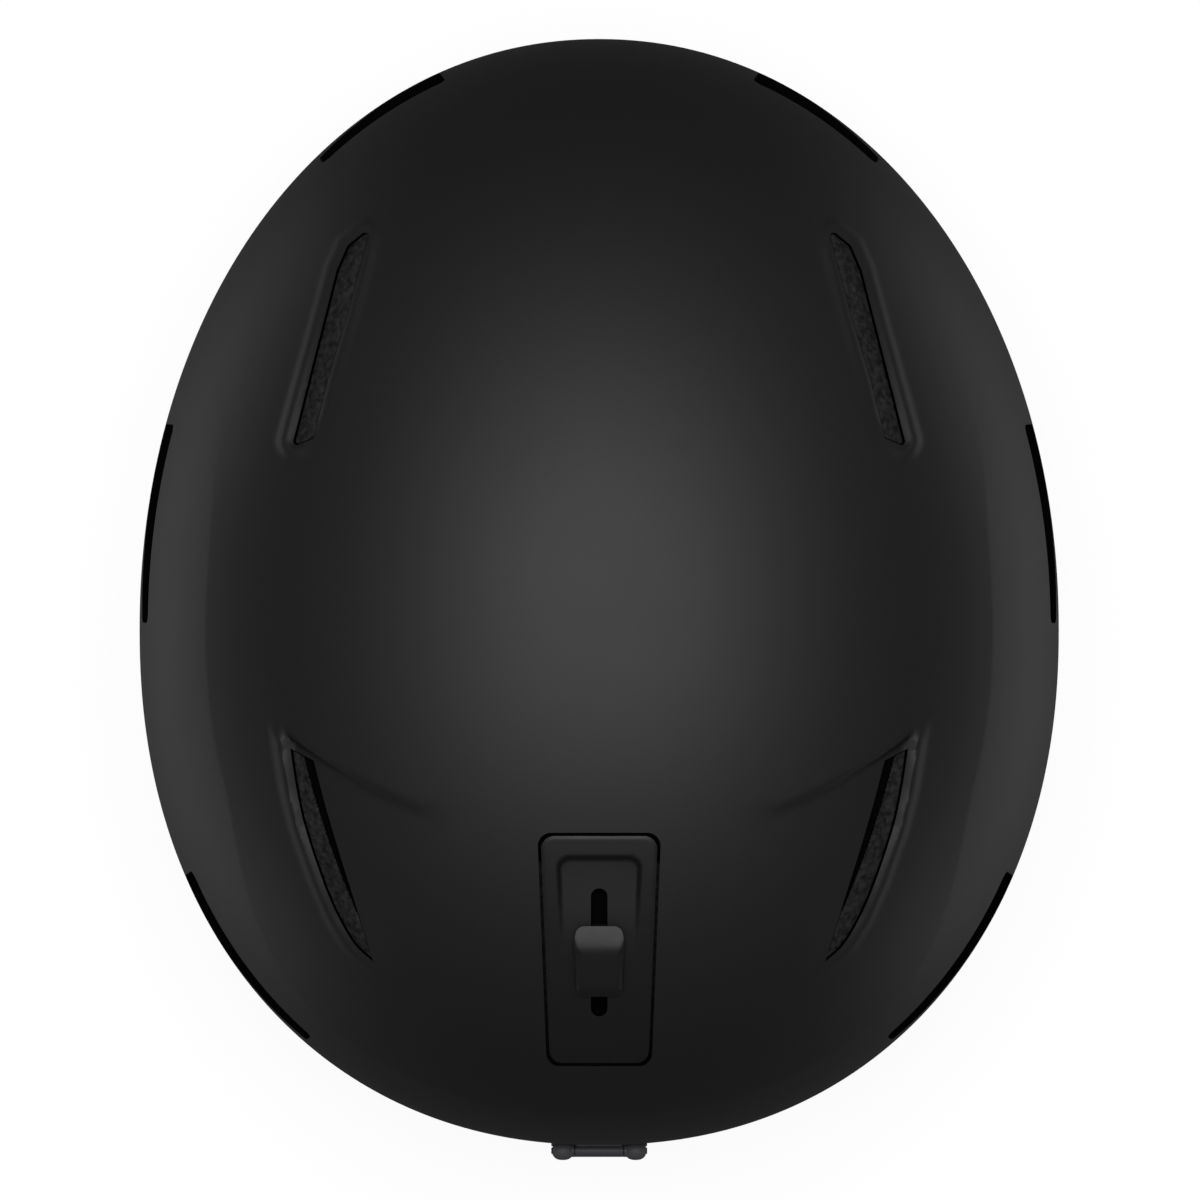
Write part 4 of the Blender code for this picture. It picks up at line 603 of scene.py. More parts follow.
def skin_rows(inset):
    """Rows of the shell from crown to rim, and how far each point lies from the shoulder crease."""
    crest = shoulder(columns)
    rows = [crown_row(columns, crest * step, inset) for step in crown_steps]
    away = [(1 - step) * crest * CROWN_RADIUS for step in crown_steps]
    top = crown_row(columns, crest, 0.0)[:, 2]
    for step in wall_steps:
        z = top + (rim_z(columns) - top) * step
        rows.append(wall_row(columns, z, inset))
        away.append(top - z)
    return np.array(rows), np.array(away)


def crease_lift(away):
    """A low ridge with a sharp top, which breaks the slope along the shoulder and fades towards the brow."""
    fade = 1 - ramp(*CREASE_FADE, np.sin(columns))
    return CREASE * fade * np.clip(1 - away / CREASE_REACH, 0.0, 1.0) ** 2


def normals_of(rows):
    """Outward normals of a grid of rows, from its neighbours along and across."""
    along = np.roll(rows, -1, axis=1) - np.roll(rows, 1, axis=1)
    down = np.gradient(rows, axis=0)
    normal = np.cross(down, along)
    return normal / np.linalg.norm(normal, axis=-1, keepdims=True)


skin, away = skin_rows(0.0)
outward = normals_of(skin)
skin = skin + outward * (crease_lift(away) - recess(skin[..., 0], skin[..., 1]))[..., None]
outward = normals_of(skin)
inside = skin - outward * SHELL_WALL
outer_shell = new_piece("shell", stacked("shell", list(skin) + list(inside[::-1])))
print("shell grid", skin.shape[:2])

# %% [markdown]
# Openings are cut with solids that reach right through the wall. One Boolean takes all the cutters of a piece
# at once. A finished piece then gets its shading, its material, and the CAD nodes that it stands for.

# %% Cutting and dressing
def prism(name, outline, low, high):
    """A straight-sided cutter over an outline seen from above."""
    flat = np.asarray(outline, float)
    rows = [np.column_stack([flat, np.full(len(flat), z)]) for z in (low, high)]
    return stacked(name, rows)


def applied(piece):
    """The piece's modifiers become its mesh."""
    graph = bpy.context.evaluated_depsgraph_get()
    made = bpy.data.meshes.new_from_object(piece.evaluated_get(graph))
    piece.modifiers.clear()
    piece.data = made


def cut(piece, operation, meshes):
    """One Boolean with all the cutters at once, applied to the mesh."""
    joined = bmesh.new()
    for mesh in meshes:
        joined.from_mesh(mesh)
        bpy.data.meshes.remove(mesh)
    tool_mesh = bpy.data.meshes.new("cutter")
    joined.to_mesh(tool_mesh)
    joined.free()
    tool = bpy.data.objects.new("cutter", tool_mesh)
    bpy.context.scene.collection.objects.link(tool)
    modifier = piece.modifiers.new("cut", "BOOLEAN")
    modifier.operation = operation
    modifier.solver = "MANIFOLD"
    modifier.object = tool
    applied(piece)
    bpy.data.objects.remove(tool)


def dress(piece, body, stands_for, material, sharp=40.0):
    """Gives a finished piece its shading, material, body, and the CAD nodes that it stands for."""
    piece.data.materials.clear()
    piece.data.materials.append(material)
    piece.data.shade_smooth()
    piece.data.set_sharp_from_angle(angle=math.radians(sharp))
    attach(piece, body)
    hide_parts(*stands_for)
    print(piece.name, len(piece.data.vertices), "points")
    return piece


def both_sides(outline):
    """An outline on the left and its mirror on the right."""
    return [outline, [(-x, y) for x, y in reversed(outline)]]

# %% [markdown]
# The side slits are cut square to the wall. Each is a tapering slot with small round corners, drawn on
# the wall in its own two directions and pushed through along the wall's normal. At the back, a shallow
# pocket with a flat floor takes the goggle clip.

# %% Slit and pocket cutters
SLIT_Z, SLIT_HALF, SLIT_TOP, SLIT_DEPTH = 0.1046, 0.0094, 0.0136, 0.011
SLIT_TAPER, SLIT_ROUND = 0.4, 0.25   # shares of the half height
SLITS = [(118.5, 0.037), (170.0, 0.050), (219.0, 0.051)]   # direction in degrees, length


def slit_cutter(degrees, length):
    """A bar through the wall in one direction from the middle, taller at its front end."""
    azimuth = np.array([math.radians(degrees), math.radians(degrees + 1)])
    here, ahead = (Vector(p) for p in wall_row(azimuth, SLIT_Z, 0.0))
    run = Vector((ahead.x - here.x, ahead.y - here.y, 0.0)).normalized()
    through = Vector((run.y, -run.x, 0.0))
    rear = math.copysign(length / 2, -math.cos(azimuth[0]))
    corners = [(-rear, -SLIT_HALF), (rear, SLIT_TAPER * SLIT_HALF), (rear, SLIT_TOP), (-rear, SLIT_TOP)]
    flat = rounded(corners, SLIT_ROUND * SLIT_HALF, steps=4)
    rows = [[here + run * s + Vector((0, 0, h)) + through * way for s, h in flat]
            for way in (-SLIT_DEPTH, SLIT_DEPTH)]
    return stacked("slit", [[tuple(p) for p in row] for row in rows])


def slit_cutters():
    """Three slits on the left, and their mirrors on the right."""
    return [slit_cutter(angle, length) for degrees, length in SLITS for angle in (degrees, 180.0 - degrees)]


CLIP_Z, CLIP_HALF_HEIGHT, CLIP_HALF_WIDTH, CLIP_POCKET = 0.074, 0.0156, 0.0126, 1.8 * MM


def clip_pocket():
    """A flat-floored cut in the back wall, square to the line from its foot to its top."""
    back = np.full(3, -math.pi / 2)
    foot, middle, top = wall_row(back, CLIP_Z + CLIP_HALF_HEIGHT * np.array([-1.0, 0.0, 1.0]), 0.0)
    up = (top - foot) / np.linalg.norm(top - foot)
    inwards = np.array([0.0, up[2], -up[1]])
    corners = [(-CLIP_HALF_WIDTH, -1), (CLIP_HALF_WIDTH, -1), (CLIP_HALF_WIDTH, 1), (-CLIP_HALF_WIDTH, 1)]
    flat = [middle + np.array([x, 0, 0]) + up * way * CLIP_HALF_HEIGHT for x, way in corners]
    rows = [[spot + inwards * depth for spot in flat] for depth in (-SLIT_DEPTH, CLIP_POCKET)]
    return stacked("clip_pocket", rows)


print(2 * len(SLITS), "slits, up to", round(max(length for _, length in SLITS) / MM), "mm long")

# %% [markdown]
# All the openings are cut at once: four vent slots, the hole for the slider's tray, six slits and the clip's
# pocket. The hole is the tray's own outline, moved outwards by the gap that shows as a thin dark line.

# %% Shell openings
PLATE_CORNERS = [(-0.0145, -0.0588), (-0.01225, -0.1154), (0.01225, -0.1154), (0.0145, -0.0588)]
PLATE_ROUND = 0.0032
PLATE_GAP = 0.0008
CUT_LOW, CUT_HIGH = 0.10, 0.23


def grown(corners, distance):
    """A convex outline moved outwards by a distance."""
    centre = np.mean(corners, axis=0)
    result = []
    for i, corner in enumerate(corners):
        here = Vector(corner)
        normals = []
        for other, sign in ((corners[i - 1], -1), (corners[(i + 1) % len(corners)], 1)):
            run = (Vector(other) - here) * sign
            normal = Vector((run.y, -run.x)).normalized()
            if normal.dot(here - Vector(centre)) < 0:
                normal.negate()
            normals.append(normal)
        middle = (normals[0] + normals[1]).normalized()
        result.append(tuple(here + middle * distance / middle.dot(normals[0])))
    return result


plate_opening = rounded(grown(PLATE_CORNERS, PLATE_GAP), PLATE_ROUND)
openings = [prism("slot", outline, CUT_LOW, CUT_HIGH)
            for slot in (front_slot, rear_slot) for outline in both_sides(slot)]
openings.append(prism("plate_opening", plate_opening, CUT_LOW, CUT_HIGH))
openings += slit_cutters()
openings.append(clip_pocket())
cut(outer_shell, "DIFFERENCE", openings)
dress(outer_shell, "helmet", ["outer_shell"], soft_touch, sharp=38.0)

# %% [markdown]
# The lacquer's glow stops at the slits. Their upper and lower returns, like the gutters of the vents and the
# shutter, are painted near-black with almost no reflection: painted shade, which gives the eye a plain dark
# gap.

# %% Slit returns
MATT_MM = 1.0   # a matt mould's texture is near 0.1 mm; drawn coarser, so that it shows
RETURN_MARGIN, RETURN_FACING = 1 * MM, 0.45
# Painted shade: a near-black, almost unreflecting material for the slit returns, the vents' gutters and the
# shutter.
painted_shade_black, shader = new_material("painted_shade_matt_black", "#020202", 0.9, Specular_IOR_Level=0.05)
place = add_node(painted_shade_black, "ShaderNodeTexCoord").outputs["Object"]
matt = add_node(painted_shade_black, "ShaderNodeTexNoise", {"Vector": place},
                {"Scale": 1000 / MATT_MM, "Detail": 2.0})
rough = add_node(painted_shade_black, "ShaderNodeMapRange", {"Value": matt.outputs["Fac"]},
                 {"To Min": 0.85, "To Max": 0.95})
connect(painted_shade_black, rough.outputs["Result"], shader.inputs["Roughness"])
outer_shell.data.materials.append(painted_shade_black)
slit_low, slit_high = SLIT_Z - SLIT_HALF - RETURN_MARGIN, SLIT_Z + SLIT_TOP + RETURN_MARGIN
# The faces of the slit returns take the painted-shade black.
for face in outer_shell.data.polygons:
    if slit_low < face.center.z < slit_high and abs(face.normal.z) > RETURN_FACING:
        face.material_index = 1
print("made", painted_shade_black.name)

# %% [markdown]
# ## Vent inserts
# Behind each slot sits a strip of open-pored foam, a little below the shell. It is cut from a thin slab
# that follows the crown. Its pores are real dents, pressed into the slab by a noise, with the finer web
# left to the material.

# %% Slabs that follow the crown
def slab(name, outline, top, bottom, pitch):
    """A slab between two height functions, cut to an outline seen from above."""
    low, high = np.min(outline, axis=0) - 2 * pitch, np.max(outline, axis=0) + 2 * pitch
    xs = np.linspace(low[0], high[0], int((high[0] - low[0]) / pitch) + 1)
    ys = np.linspace(low[1], high[1], int((high[1] - low[1]) / pitch) + 1)
    x, y = np.meshgrid(xs, ys)
    count, across = x.shape
    points = np.concatenate([np.stack([x, y, surface(x, y)], axis=-1).reshape(-1, 3)
                             for surface in (top, bottom)])
    index = np.arange(count * across).reshape(count, across)
    faces = []
    for grid, flip in ((index, False), (index + count * across, True)):
        quads = np.stack([grid[:-1, :-1], grid[:-1, 1:], grid[1:, 1:], grid[1:, :-1]], axis=-1).reshape(-1, 4)
        faces += (quads[:, ::-1] if flip else quads).tolist()
    ring = np.concatenate([index[0, :-1], index[:-1, -1], index[-1, :0:-1], index[:0:-1, 0]])
    for a, b in zip(ring.tolist(), np.roll(ring, -1).tolist()):
        faces.append([b, a, a + count * across, b + count * across])
    mesh = bpy.data.meshes.new(name)
    mesh.from_pydata(points.tolist(), [], faces)
    piece = new_piece(name, mesh)
    cut(piece, "INTERSECT", [prism("outline", outline, CUT_LOW, CUT_HIGH)])
    return piece

# %% [markdown]
# The strip slopes down from its inner edge, where it lies just under the crown, to its outer one. At the rear
# vents a deep, bare gutter runs along the inner side.

# %% Pored surface
INSERT_TOP = 1.2 * MM
INSERT_DEPTH = 2.5 * MM
INSERT_SLOPE = (-0.5 * MM, 5 * MM)
GUTTER_DEPTH = 4.2 * MM
GUTTER_EDGE = 0.2 * MM
PORE_PITCH = 1.5 * MM
PORE_DEPTH = 0.35 * MM
GUTTER = [(-0.0740, -0.0360), (-0.0702, -0.0500), (-0.0670, -0.0600), (-0.0637, -0.0690),
          (-0.0604, -0.0770), (-0.0530, -0.0900)]


def pored(x, y):
    """The top of a vent insert: tilted, dented by pores, with a gutter in the rear ones."""
    spots = zip(x.ravel(), y.ravel())
    dents = [noise.noise(Vector((a / PORE_PITCH, b / PORE_PITCH, 0.0))) for a, b in spots]
    left = -np.abs(x)
    inner = np.where(y > 0, -from_line(left, y, FRONT_INNER), -from_line(left, y, REAR_INNER))
    gutter = ramp(-GUTTER_EDGE, GUTTER_EDGE, from_line(left, y, GUTTER)) * (y < 0)
    depth = INSERT_TOP + (INSERT_DEPTH - INSERT_TOP) * ramp(*INSERT_SLOPE, inner)
    depth = depth + (GUTTER_DEPTH - depth) * gutter
    return crown_z(x, y) - depth + PORE_DEPTH * np.reshape(dents, x.shape) * (1 - gutter)


def under(depth):
    """The crown drawn in by a depth, as a height function."""
    return lambda x, y: crown_z(x, y, depth)


print("gutter", round(GUTTER_DEPTH / MM, 1), "mm below the crown")

# %% [markdown]
# Each insert is its slot's outline drawn in by a thin gap, and shifted inwards so that the dark line shows on
# the outer side. Faces that lie in the gutter take the near-black of painted shade.

# %% Vent inserts
INSERT_GAP = 0.35 * MM
INSERT_SHIFT = 0.25 * MM
INSERT_FOOT = {"front": 3.5 * MM, "rear": 4.6 * MM}   # the shutter's bars pass below
INSERT_PITCH = 0.35 * MM
SHARPEST_TURN = 0.35


def shrunk(outline, distance):
    """A slot's outline drawn in, for a piece that drops into it."""
    loop = np.asarray(outline, float)
    before, after = loop - np.roll(loop, 1, axis=0), np.roll(loop, -1, axis=0) - loop
    turn = np.sign(np.sum(loop[:, 0] * np.roll(loop[:, 1], -1) - loop[:, 1] * np.roll(loop[:, 0], -1)))
    inward = [turn * np.column_stack([-run[:, 1], run[:, 0]]) / np.linalg.norm(run, axis=1)[:, None]
              for run in (before, after)]
    middle = inward[0] + inward[1]
    middle /= np.maximum(np.sum(middle * inward[0], axis=1), SHARPEST_TURN)[:, None]
    return [tuple(spot) for spot in loop + middle * distance]


def shifted(outline):
    """The outline moved towards the middle line, which narrows its inner gap and widens the outer one."""
    return [(x - math.copysign(INSERT_SHIFT, x), y) for x, y in outline]


def in_gutter(face):
    """Whether a face of an insert lies in the gutter of a rear vent."""
    x, y = face.center[:2]
    return y < 0 and from_line(np.array(-abs(x)), np.array(y), GUTTER) > -GUTTER_EDGE / 2


for name, slot in (("front", front_slot), ("rear", rear_slot)):
    for side, outline in zip(("left", "right"), both_sides(slot)):
        inset = shrunk(shifted(outline), INSERT_GAP)
        strip = slab(f"vent_foam_{name}_{side}", inset, pored, under(INSERT_FOOT[name]), INSERT_PITCH)
        dress(strip, "helmet", [f"vent_mesh_{name}_{side}"], vent_foam, sharp=60.0)
        # The gutter's faces take the painted-shade black.
        strip.data.materials.append(painted_shade_black)
        for face in strip.data.polygons:
            face.material_index = int(in_gutter(face))

# %% [markdown]
# ## Slider plate and button
# A separate tray is let into the back of the crown with a thin shadow gap. Its front is scooped for the
# thumb, and fades out flush. The button rides over a slot: a rounded, sloping face to push, then a flat
# back with chamfered sides. Both are height fields over an outline, which keeps the soft transitions smooth.

# %% Slider plate
plate_outline = rounded(PLATE_CORNERS, PLATE_ROUND)
SCOOP = [(-0.0109, -0.0635), (-0.0098, -0.0900), (0.0098, -0.0900), (0.0109, -0.0635)]
SCOOP_ROUND, SCOOP_DEPTH, SCOOP_EDGE = 0.0034, 2.1 * MM, 1.5 * MM
SCOOP_FADE = (-0.0895, -0.0660)
PLATE_SOFT, PLATE_SOFT_REACH = 0.25 * MM, 0.7 * MM
PLATE_DEPTH, PLATE_PITCH = 4.0 * MM, 0.4 * MM
scoop_loop = rounded(SCOOP, SCOOP_ROUND)


def plate_top(x, y):
    """The top of the tray: flush with the crown, with a softened edge and the thumb scoop."""
    deep = SCOOP_DEPTH * ramp(0, SCOOP_EDGE, inside_of(x, y, scoop_loop)) * ramp(*SCOOP_FADE, y)
    edge = inside_of(x, y, plate_outline)
    soft = PLATE_SOFT * (1 - ramp(0, PLATE_SOFT_REACH, edge))
    return crown_z(x, y) - deep - soft


SLOT_HALF, SLOT_FRONT, SLOT_REAR = 0.00206, -0.0718, -0.1037
SLOT_END = 0.98   # the slot's ends are rounded nearly to its half width
slot_outline = rounded([(-SLOT_HALF, SLOT_FRONT), (-SLOT_HALF, SLOT_REAR), (SLOT_HALF, SLOT_REAR),
                        (SLOT_HALF, SLOT_FRONT)], SLOT_HALF * SLOT_END, steps=8)
plate = slab("slider_tray", plate_outline, plate_top, under(PLATE_DEPTH), PLATE_PITCH)
cut(plate, "DIFFERENCE", [prism("slot", slot_outline, CUT_LOW, CUT_HIGH)])
dress(plate, "helmet", ["slider_plate"], nylon_black, sharp=50.0)

# %% [markdown]
# The button's top is the lowest of four slopes at each point: its pushed face, its crest, its two sides and
# its tail. Where two slopes meet, the corner between them is rounded, as the mould rounds it.

# %% Slider button
BUTTON_FRONT, BUTTON_REAR, BUTTON_HEIGHT = -0.0812, -0.0988, 4.2 * MM
BUTTON_NOSE, BUTTON_HALF, BUTTON_TAIL, BUTTON_WIDEST = 0.0055, 0.0064, 0.0056, 0.0046
BUTTON_ROUND, BUTTON_SOFT, BUTTON_PITCH, BUTTON_LIFT = 2.2 * MM, 0.35 * MM, 0.3 * MM, 0.6 * MM
FACE_START, FACE_SLOPE = 1.1 * MM, 0.52
CREST_START, CREST_SLOPE = 7 * MM, 0.03
SIDE_EDGE, SIDE_START, SIDE_SLOPE, SIDE_MORE = 0.0061, 1.9 * MM, 1.7, 1.6 * MM
SIDE_FADE = (5 * MM, 8 * MM)
TAIL_START, TAIL_SLOPE = 1.6 * MM, 1.5
widest = BUTTON_FRONT - BUTTON_WIDEST
button_outline = rounded([(-BUTTON_NOSE, BUTTON_FRONT), (-BUTTON_HALF, widest), (-BUTTON_TAIL, BUTTON_REAR),
                          (BUTTON_TAIL, BUTTON_REAR), (BUTTON_HALF, widest), (BUTTON_NOSE, BUTTON_FRONT)],
                         BUTTON_ROUND)


def softest(*heights, soft):
    """The lowest of several values, with the corners between them rounded."""
    lowest = np.minimum.reduce(heights)
    return lowest - soft * np.log(sum(np.exp((lowest - height) / soft) for height in heights))


def button_top(x, y):
    """The top of the button over the crown."""
    back = BUTTON_FRONT - y
    face = FACE_START + back * FACE_SLOPE
    crest = BUTTON_HEIGHT - CREST_SLOPE * (back - CREST_START)
    sides = SIDE_START + (SIDE_EDGE - np.abs(x)) * SIDE_SLOPE + SIDE_MORE * (1 - ramp(*SIDE_FADE, back))
    tail = TAIL_START + (y - BUTTON_REAR) * TAIL_SLOPE
    return crown_z(x, y) + softest(face, crest, sides, tail, soft=BUTTON_SOFT)


button = slab("slider_button", button_outline, button_top, under(-BUTTON_LIFT), BUTTON_PITCH)
dress(button, "vent_slider", ["vent_slider"], nylon_black, sharp=55.0)

# %% [markdown]
# ## Foam liner
# Under the shell lies the part that takes the blow: bead foam moulded in one piece, about 28 mm thick at the
# rim and 22 mm under the crown, where the shutter needs room. It is built as a single skin that runs from the
# crown outside, down round the rim and up again inside, so it is closed by itself. The rim's inner edge is
# rounded, as a foam mould needs it to be.

# %% Foam liner
around = np.radians(np.arange(0.0, 360.0, 1.5))
RIM_ROUND = 6 * MM
SEAT_BLEND = 0.26   # share of the wall over which the shutter's room fades out


def liner_rows():
    """Rows down the outside, under the rim, up the cavity's wall and over its dome."""
    crest = shoulder(around)
    top = crown_row(around, crest, 0.0)[:, 2]
    rows = [crown_row(around, crest * step, LINER_SEAT + SHUTTER_ROOM) for step in np.linspace(0.03, 1.0, 22)]
    for step in np.linspace(0.04, 1.0, 24):
        drop = SHUTTER_ROOM * (1 - ramp(0.0, SEAT_BLEND, step))
        rows.append(wall_row(around, top + (rim_z(around) - top) * step, LINER_SEAT + drop))
    for inset in np.linspace(LINER_SEAT, CAVITY_INSET, 14)[1:-1]:
        reach = np.clip((inset - CAVITY_INSET + RIM_ROUND) / RIM_ROUND, 0.0, 1.0)
        rows.append(wall_row(around, rim_z(around), inset))
        rows[-1][:, 2] += RIM_ROUND * (1 - math.sqrt(1 - reach ** 2))
    for step in np.linspace(0.0, 1.0, 12):
        low = rim_z(around) + RIM_ROUND
        rows.append(wall_row(around, low + (BELT_Z + RIM_ROUND - low) * step, CAVITY_INSET))
    foot = math.acos((RIM_ROUND / (DOME_HEIGHT - CAVITY_INSET)) ** (DOME_POWER / 2))
    rows += [crown_row(around, np.full_like(around, polar), CAVITY_INSET)
             for polar in np.linspace(foot, 0.03, 34)[1:]]
    return rows


CHANNEL_FLOOR_Z = 0.118
liner = new_piece("bead_foam_liner", stacked("bead_foam_liner", liner_rows()))
cutters = [prism("channel", outline, CHANNEL_FLOOR_Z, CUT_HIGH)
           for slot in (front_slot, rear_slot) for outline in both_sides(slot)]
cut(liner, "DIFFERENCE", cutters + slit_cutters())
dress(liner, "helmet", ["foam_liner"], bead_foam, sharp=40.0)

# %% [markdown]
# ## Edge trim
# A rubber bead closes the joint between shell and foam. It is an extrusion bent round the rim, so its
# section is the same everywhere: a rounded rectangle, swept as a ring of rings.

# %% Edge trim
TRIM_OUTER, TRIM_INNER, TRIM_HEIGHT = 0.3 * MM, 7.2 * MM, 3.2 * MM
TRIM_POINTS, TRIM_POWER = 18, 3.4


def squared(angle, power):
    """A point on a rounded square of half side 1."""
    c, s = math.cos(angle), math.sin(angle)
    return (math.copysign(abs(c) ** (2 / power), c), math.copysign(abs(s) ** (2 / power), s))


trim_rows = []
for step in range(TRIM_POINTS):
    out, up = squared(TURN * step / TRIM_POINTS, TRIM_POWER)
    inset = (TRIM_OUTER + TRIM_INNER) / 2 - out * (TRIM_INNER - TRIM_OUTER) / 2
    row = wall_row(around, rim_z(around) - TRIM_OUTER, inset)
    row[:, 2] += (up - 1) * TRIM_HEIGHT / 2
    trim_rows.append(row)
trim = new_piece("edge_trim", stacked("edge_trim", trim_rows, loop=True))
dress(trim, "helmet", ["rim_trim"], edge_rubber, sharp=60.0)

# %% [markdown]
# ## Pads inside the helmet
# Each pad is a slice of soft foam in a knitted cover, sewn shut round its edge, and held to the liner by
# hook tape. Here each pad is shaped directly: a face that swells from its seam, a flatter back, and
# stitched lines that pull the face down. The rows run from the middle of the face, over the seam, to the
# back.

# %% Cushion helper
SEAM = 0.42   # how high the seam lies between back and face
SEAM_CLEAR = 8   # the power by which stitched lines fade out before the seam


def pillow(name, place, edge, swell, stitch, rings=26):
    """A cushion: place(u, v, w) sets a point, edge holds the outline in u and v, w runs from back to face."""
    edge = np.asarray(edge, float)
    rows = []
    for r in np.sin(np.linspace(0.03, 1.0, rings) * math.pi / 2):
        u, v = edge[:, 0] * r, edge[:, 1] * r
        w = SEAM + (1 - SEAM) * (1 - r ** swell) ** 0.5 - stitch(u, v) * (1 - r ** SEAM_CLEAR)
        rows.append(place(u, v, w))
    for r in np.sin(np.linspace(0.97, 0.03, rings // 2) * math.pi / 2):
        u, v = edge[:, 0] * r, edge[:, 1] * r
        rows.append(place(u, v, SEAM * (1 - (1 - r ** swell) ** 0.5) + 0 * u))
    return new_piece(name, stacked(name, rows))

# %% [markdown]
# A pad is drawn on a flat tablet from -1 to 1 both ways. A placing function then lays it on the inside of the
# wall or of the crown, and sets its thickness.

# %% Places and stitches
PAD_SEAT, PAD_THICKNESS = 0.03155, 6 * MM
PAD_POINTS = 144
CROWN_PAD_HALF_WIDTH, CROWN_PAD_HALF_LENGTH = 0.035, 0.050
STITCH_PULL, STITCH_ACROSS, STITCH_ALONG = 0.34, 0.035, 0.05


def wall_place(middle, span, low, height):
    """Places a pad on the inside of the wall, round a middle direction in degrees."""
    def place(u, v, w):
        azimuth = np.radians(middle - u * span / 2)
        z = low(azimuth) + height * (v + 1) / 2
        row = wall_row(azimuth, z, PAD_SEAT)
        near = wall_row(azimuth, z, PAD_SEAT + PAD_THICKNESS)
        return row + (near - row) * w[:, None]
    return place


def crown_place(u, v, w):
    """Places a pad under the crown."""
    x, y = u * CROWN_PAD_HALF_WIDTH, PLAN_CENTRE_Y + v * CROWN_PAD_HALF_LENGTH
    return np.stack([x, y, crown_z(x, y, PAD_SEAT) - w * PAD_THICKNESS], axis=-1)


def lines_across(*spots):
    """Stitched lines that run along v and pull the face down."""
    return lambda u, v: STITCH_PULL * sum(np.exp(-((u - spot) / STITCH_ACROSS) ** 2) for spot in spots)


def lines_along(*spots):
    """Stitched lines that run along u and pull the face down."""
    return lambda u, v: STITCH_PULL * sum(np.exp(-((v - spot) / STITCH_ALONG) ** 2) for spot in spots)


print("pads", round(PAD_THICKNESS / MM, 1), "mm thick")

# %% [markdown]
# The brow pad has three upright stitched lines, each side pad has one, and the crown pad has two that run
# from side to side. They share one thickness and one fill, as pads cut from the same foam.

# %% Pads of the liner
PAD_HEIGHT, PAD_FILL, PAD_SWELL = 0.026, 0.7, 5
BROW_SPAN, SIDE_SPAN, RIM_CLEAR = 75.0, 45.0, 2 * MM
tablet = [squared(TURN * step / PAD_POINTS, 5.0) for step in range(PAD_POINTS)]
crown_edge = [squared(TURN * step / PAD_POINTS, 3.0) for step in range(PAD_POINTS)]


def finish_pad(pad, node, fill):
    """Covers a pad in knit; fill is not used."""
    dress(pad, "helmet", [node], brushed_knit, sharp=75.0)


brow_place = wall_place(90.0, BROW_SPAN, lambda a: rim_z(a) + RIM_CLEAR, PAD_HEIGHT)
brow = pillow("brow_cushion", brow_place, tablet, PAD_SWELL, lines_across(-0.5, 0.0, 0.5), rings=30)
finish_pad(brow, "brow_pad", PAD_FILL)
for side, middle in (("left", 180.0), ("right", 0.0)):
    side_place = wall_place(middle, SIDE_SPAN, lambda a: BELT_Z + 0 * a, PAD_HEIGHT)
    pad = pillow(f"side_cushion_{side}", side_place, tablet, PAD_SWELL, lines_across(0.0))
    finish_pad(pad, f"side_pad_{side}", PAD_FILL)
crown_pad = pillow("crown_cushion", crown_place, crown_edge, PAD_SWELL, lines_along(-0.4, 0.4), rings=30)
finish_pad(crown_pad, "crown_pad", PAD_FILL)

# %% [markdown]
# The nape pad rests on the size adjuster instead of the liner, so it is laid round the centre of the bands.

# %% Nape pad
BAND_CENTRE_Y, BAND_Z = -0.017, 0.030
NAPE_RADIUS, NAPE_HALF_TURN, NAPE_HALF_HEIGHT = 0.0742, 17.1, 0.013


def nape_place(u, v, w):
    """Places a pad on the inside of the adjuster, about the bands' centre."""
    angle, radius = np.radians(-90 + u * NAPE_HALF_TURN), NAPE_RADIUS - w * PAD_THICKNESS
    x, y = radius * np.cos(angle), BAND_CENTRE_Y + radius * np.sin(angle)
    return np.stack([x, y, BAND_Z + v * NAPE_HALF_HEIGHT], axis=-1)


nape = pillow("nape_cushion", nape_place, tablet, PAD_SWELL, lines_across(-0.33, 0.33))
finish_pad(nape, "nape_pad", PAD_FILL)

# %% [markdown]
# ## Ear pads
# The ear pads hang below the rim and are the softest pieces: two knitted panels sewn round the edge over
# thick foam. Both faces swell, a round of stitches over the ear makes a dished middle, and a corded welt
# runs along the seam.

# %% Ear pads
EAR_X, EAR_THICK, EAR_ROUND, EAR_FILL = 0.0910, 0.016, 0.009, 0.8
EAR_MIDDLE = np.array([-0.006, 0.0275])
EAR_CORNERS = [(0.034, 0.0519), (-0.046, 0.0519), (-0.046, 0.026), (-0.036, 0.0), (0.024, 0.0),
               (0.034, 0.026)]
EAR_POINTS, EAR_RINGS, EAR_SWELL = 160, 26, 6
RING_SHARE, RING_WIDTH, RING_PULL = 0.56, 0.045, 0.10
DISH_SHARE, DISH_DEPTH = (0.1, 0.5), 0.06
WELT_SHARE, WELT_OUT, WELT_HIGH, WELT_TURN = 0.982, 0.018, 0.055, 1.9
ear_edge = np.array(rounded(EAR_CORNERS, EAR_ROUND, steps=10))


def even(loop, count):
    """The same closed outline with evenly spaced points."""
    loop = np.vstack([loop, loop[:1]])
    run = np.concatenate([[0.0], np.cumsum(np.linalg.norm(np.diff(loop, axis=0), axis=1))])
    spots = np.linspace(0.0, run[-1], count, endpoint=False)
    return np.column_stack([np.interp(spots, run, loop[:, axis]) for axis in (0, 1)])


def swollen(r):
    """Half the pad's thickness over its middle, as a share of the whole, with a stitched ring."""
    ring = RING_PULL * math.exp(-((r - RING_SHARE) / RING_WIDTH) ** 2)
    dish = DISH_DEPTH * (1 - ramp(*DISH_SHARE, r))
    return 0.5 * (1 - r ** EAR_SWELL) ** 0.5 - ring - dish


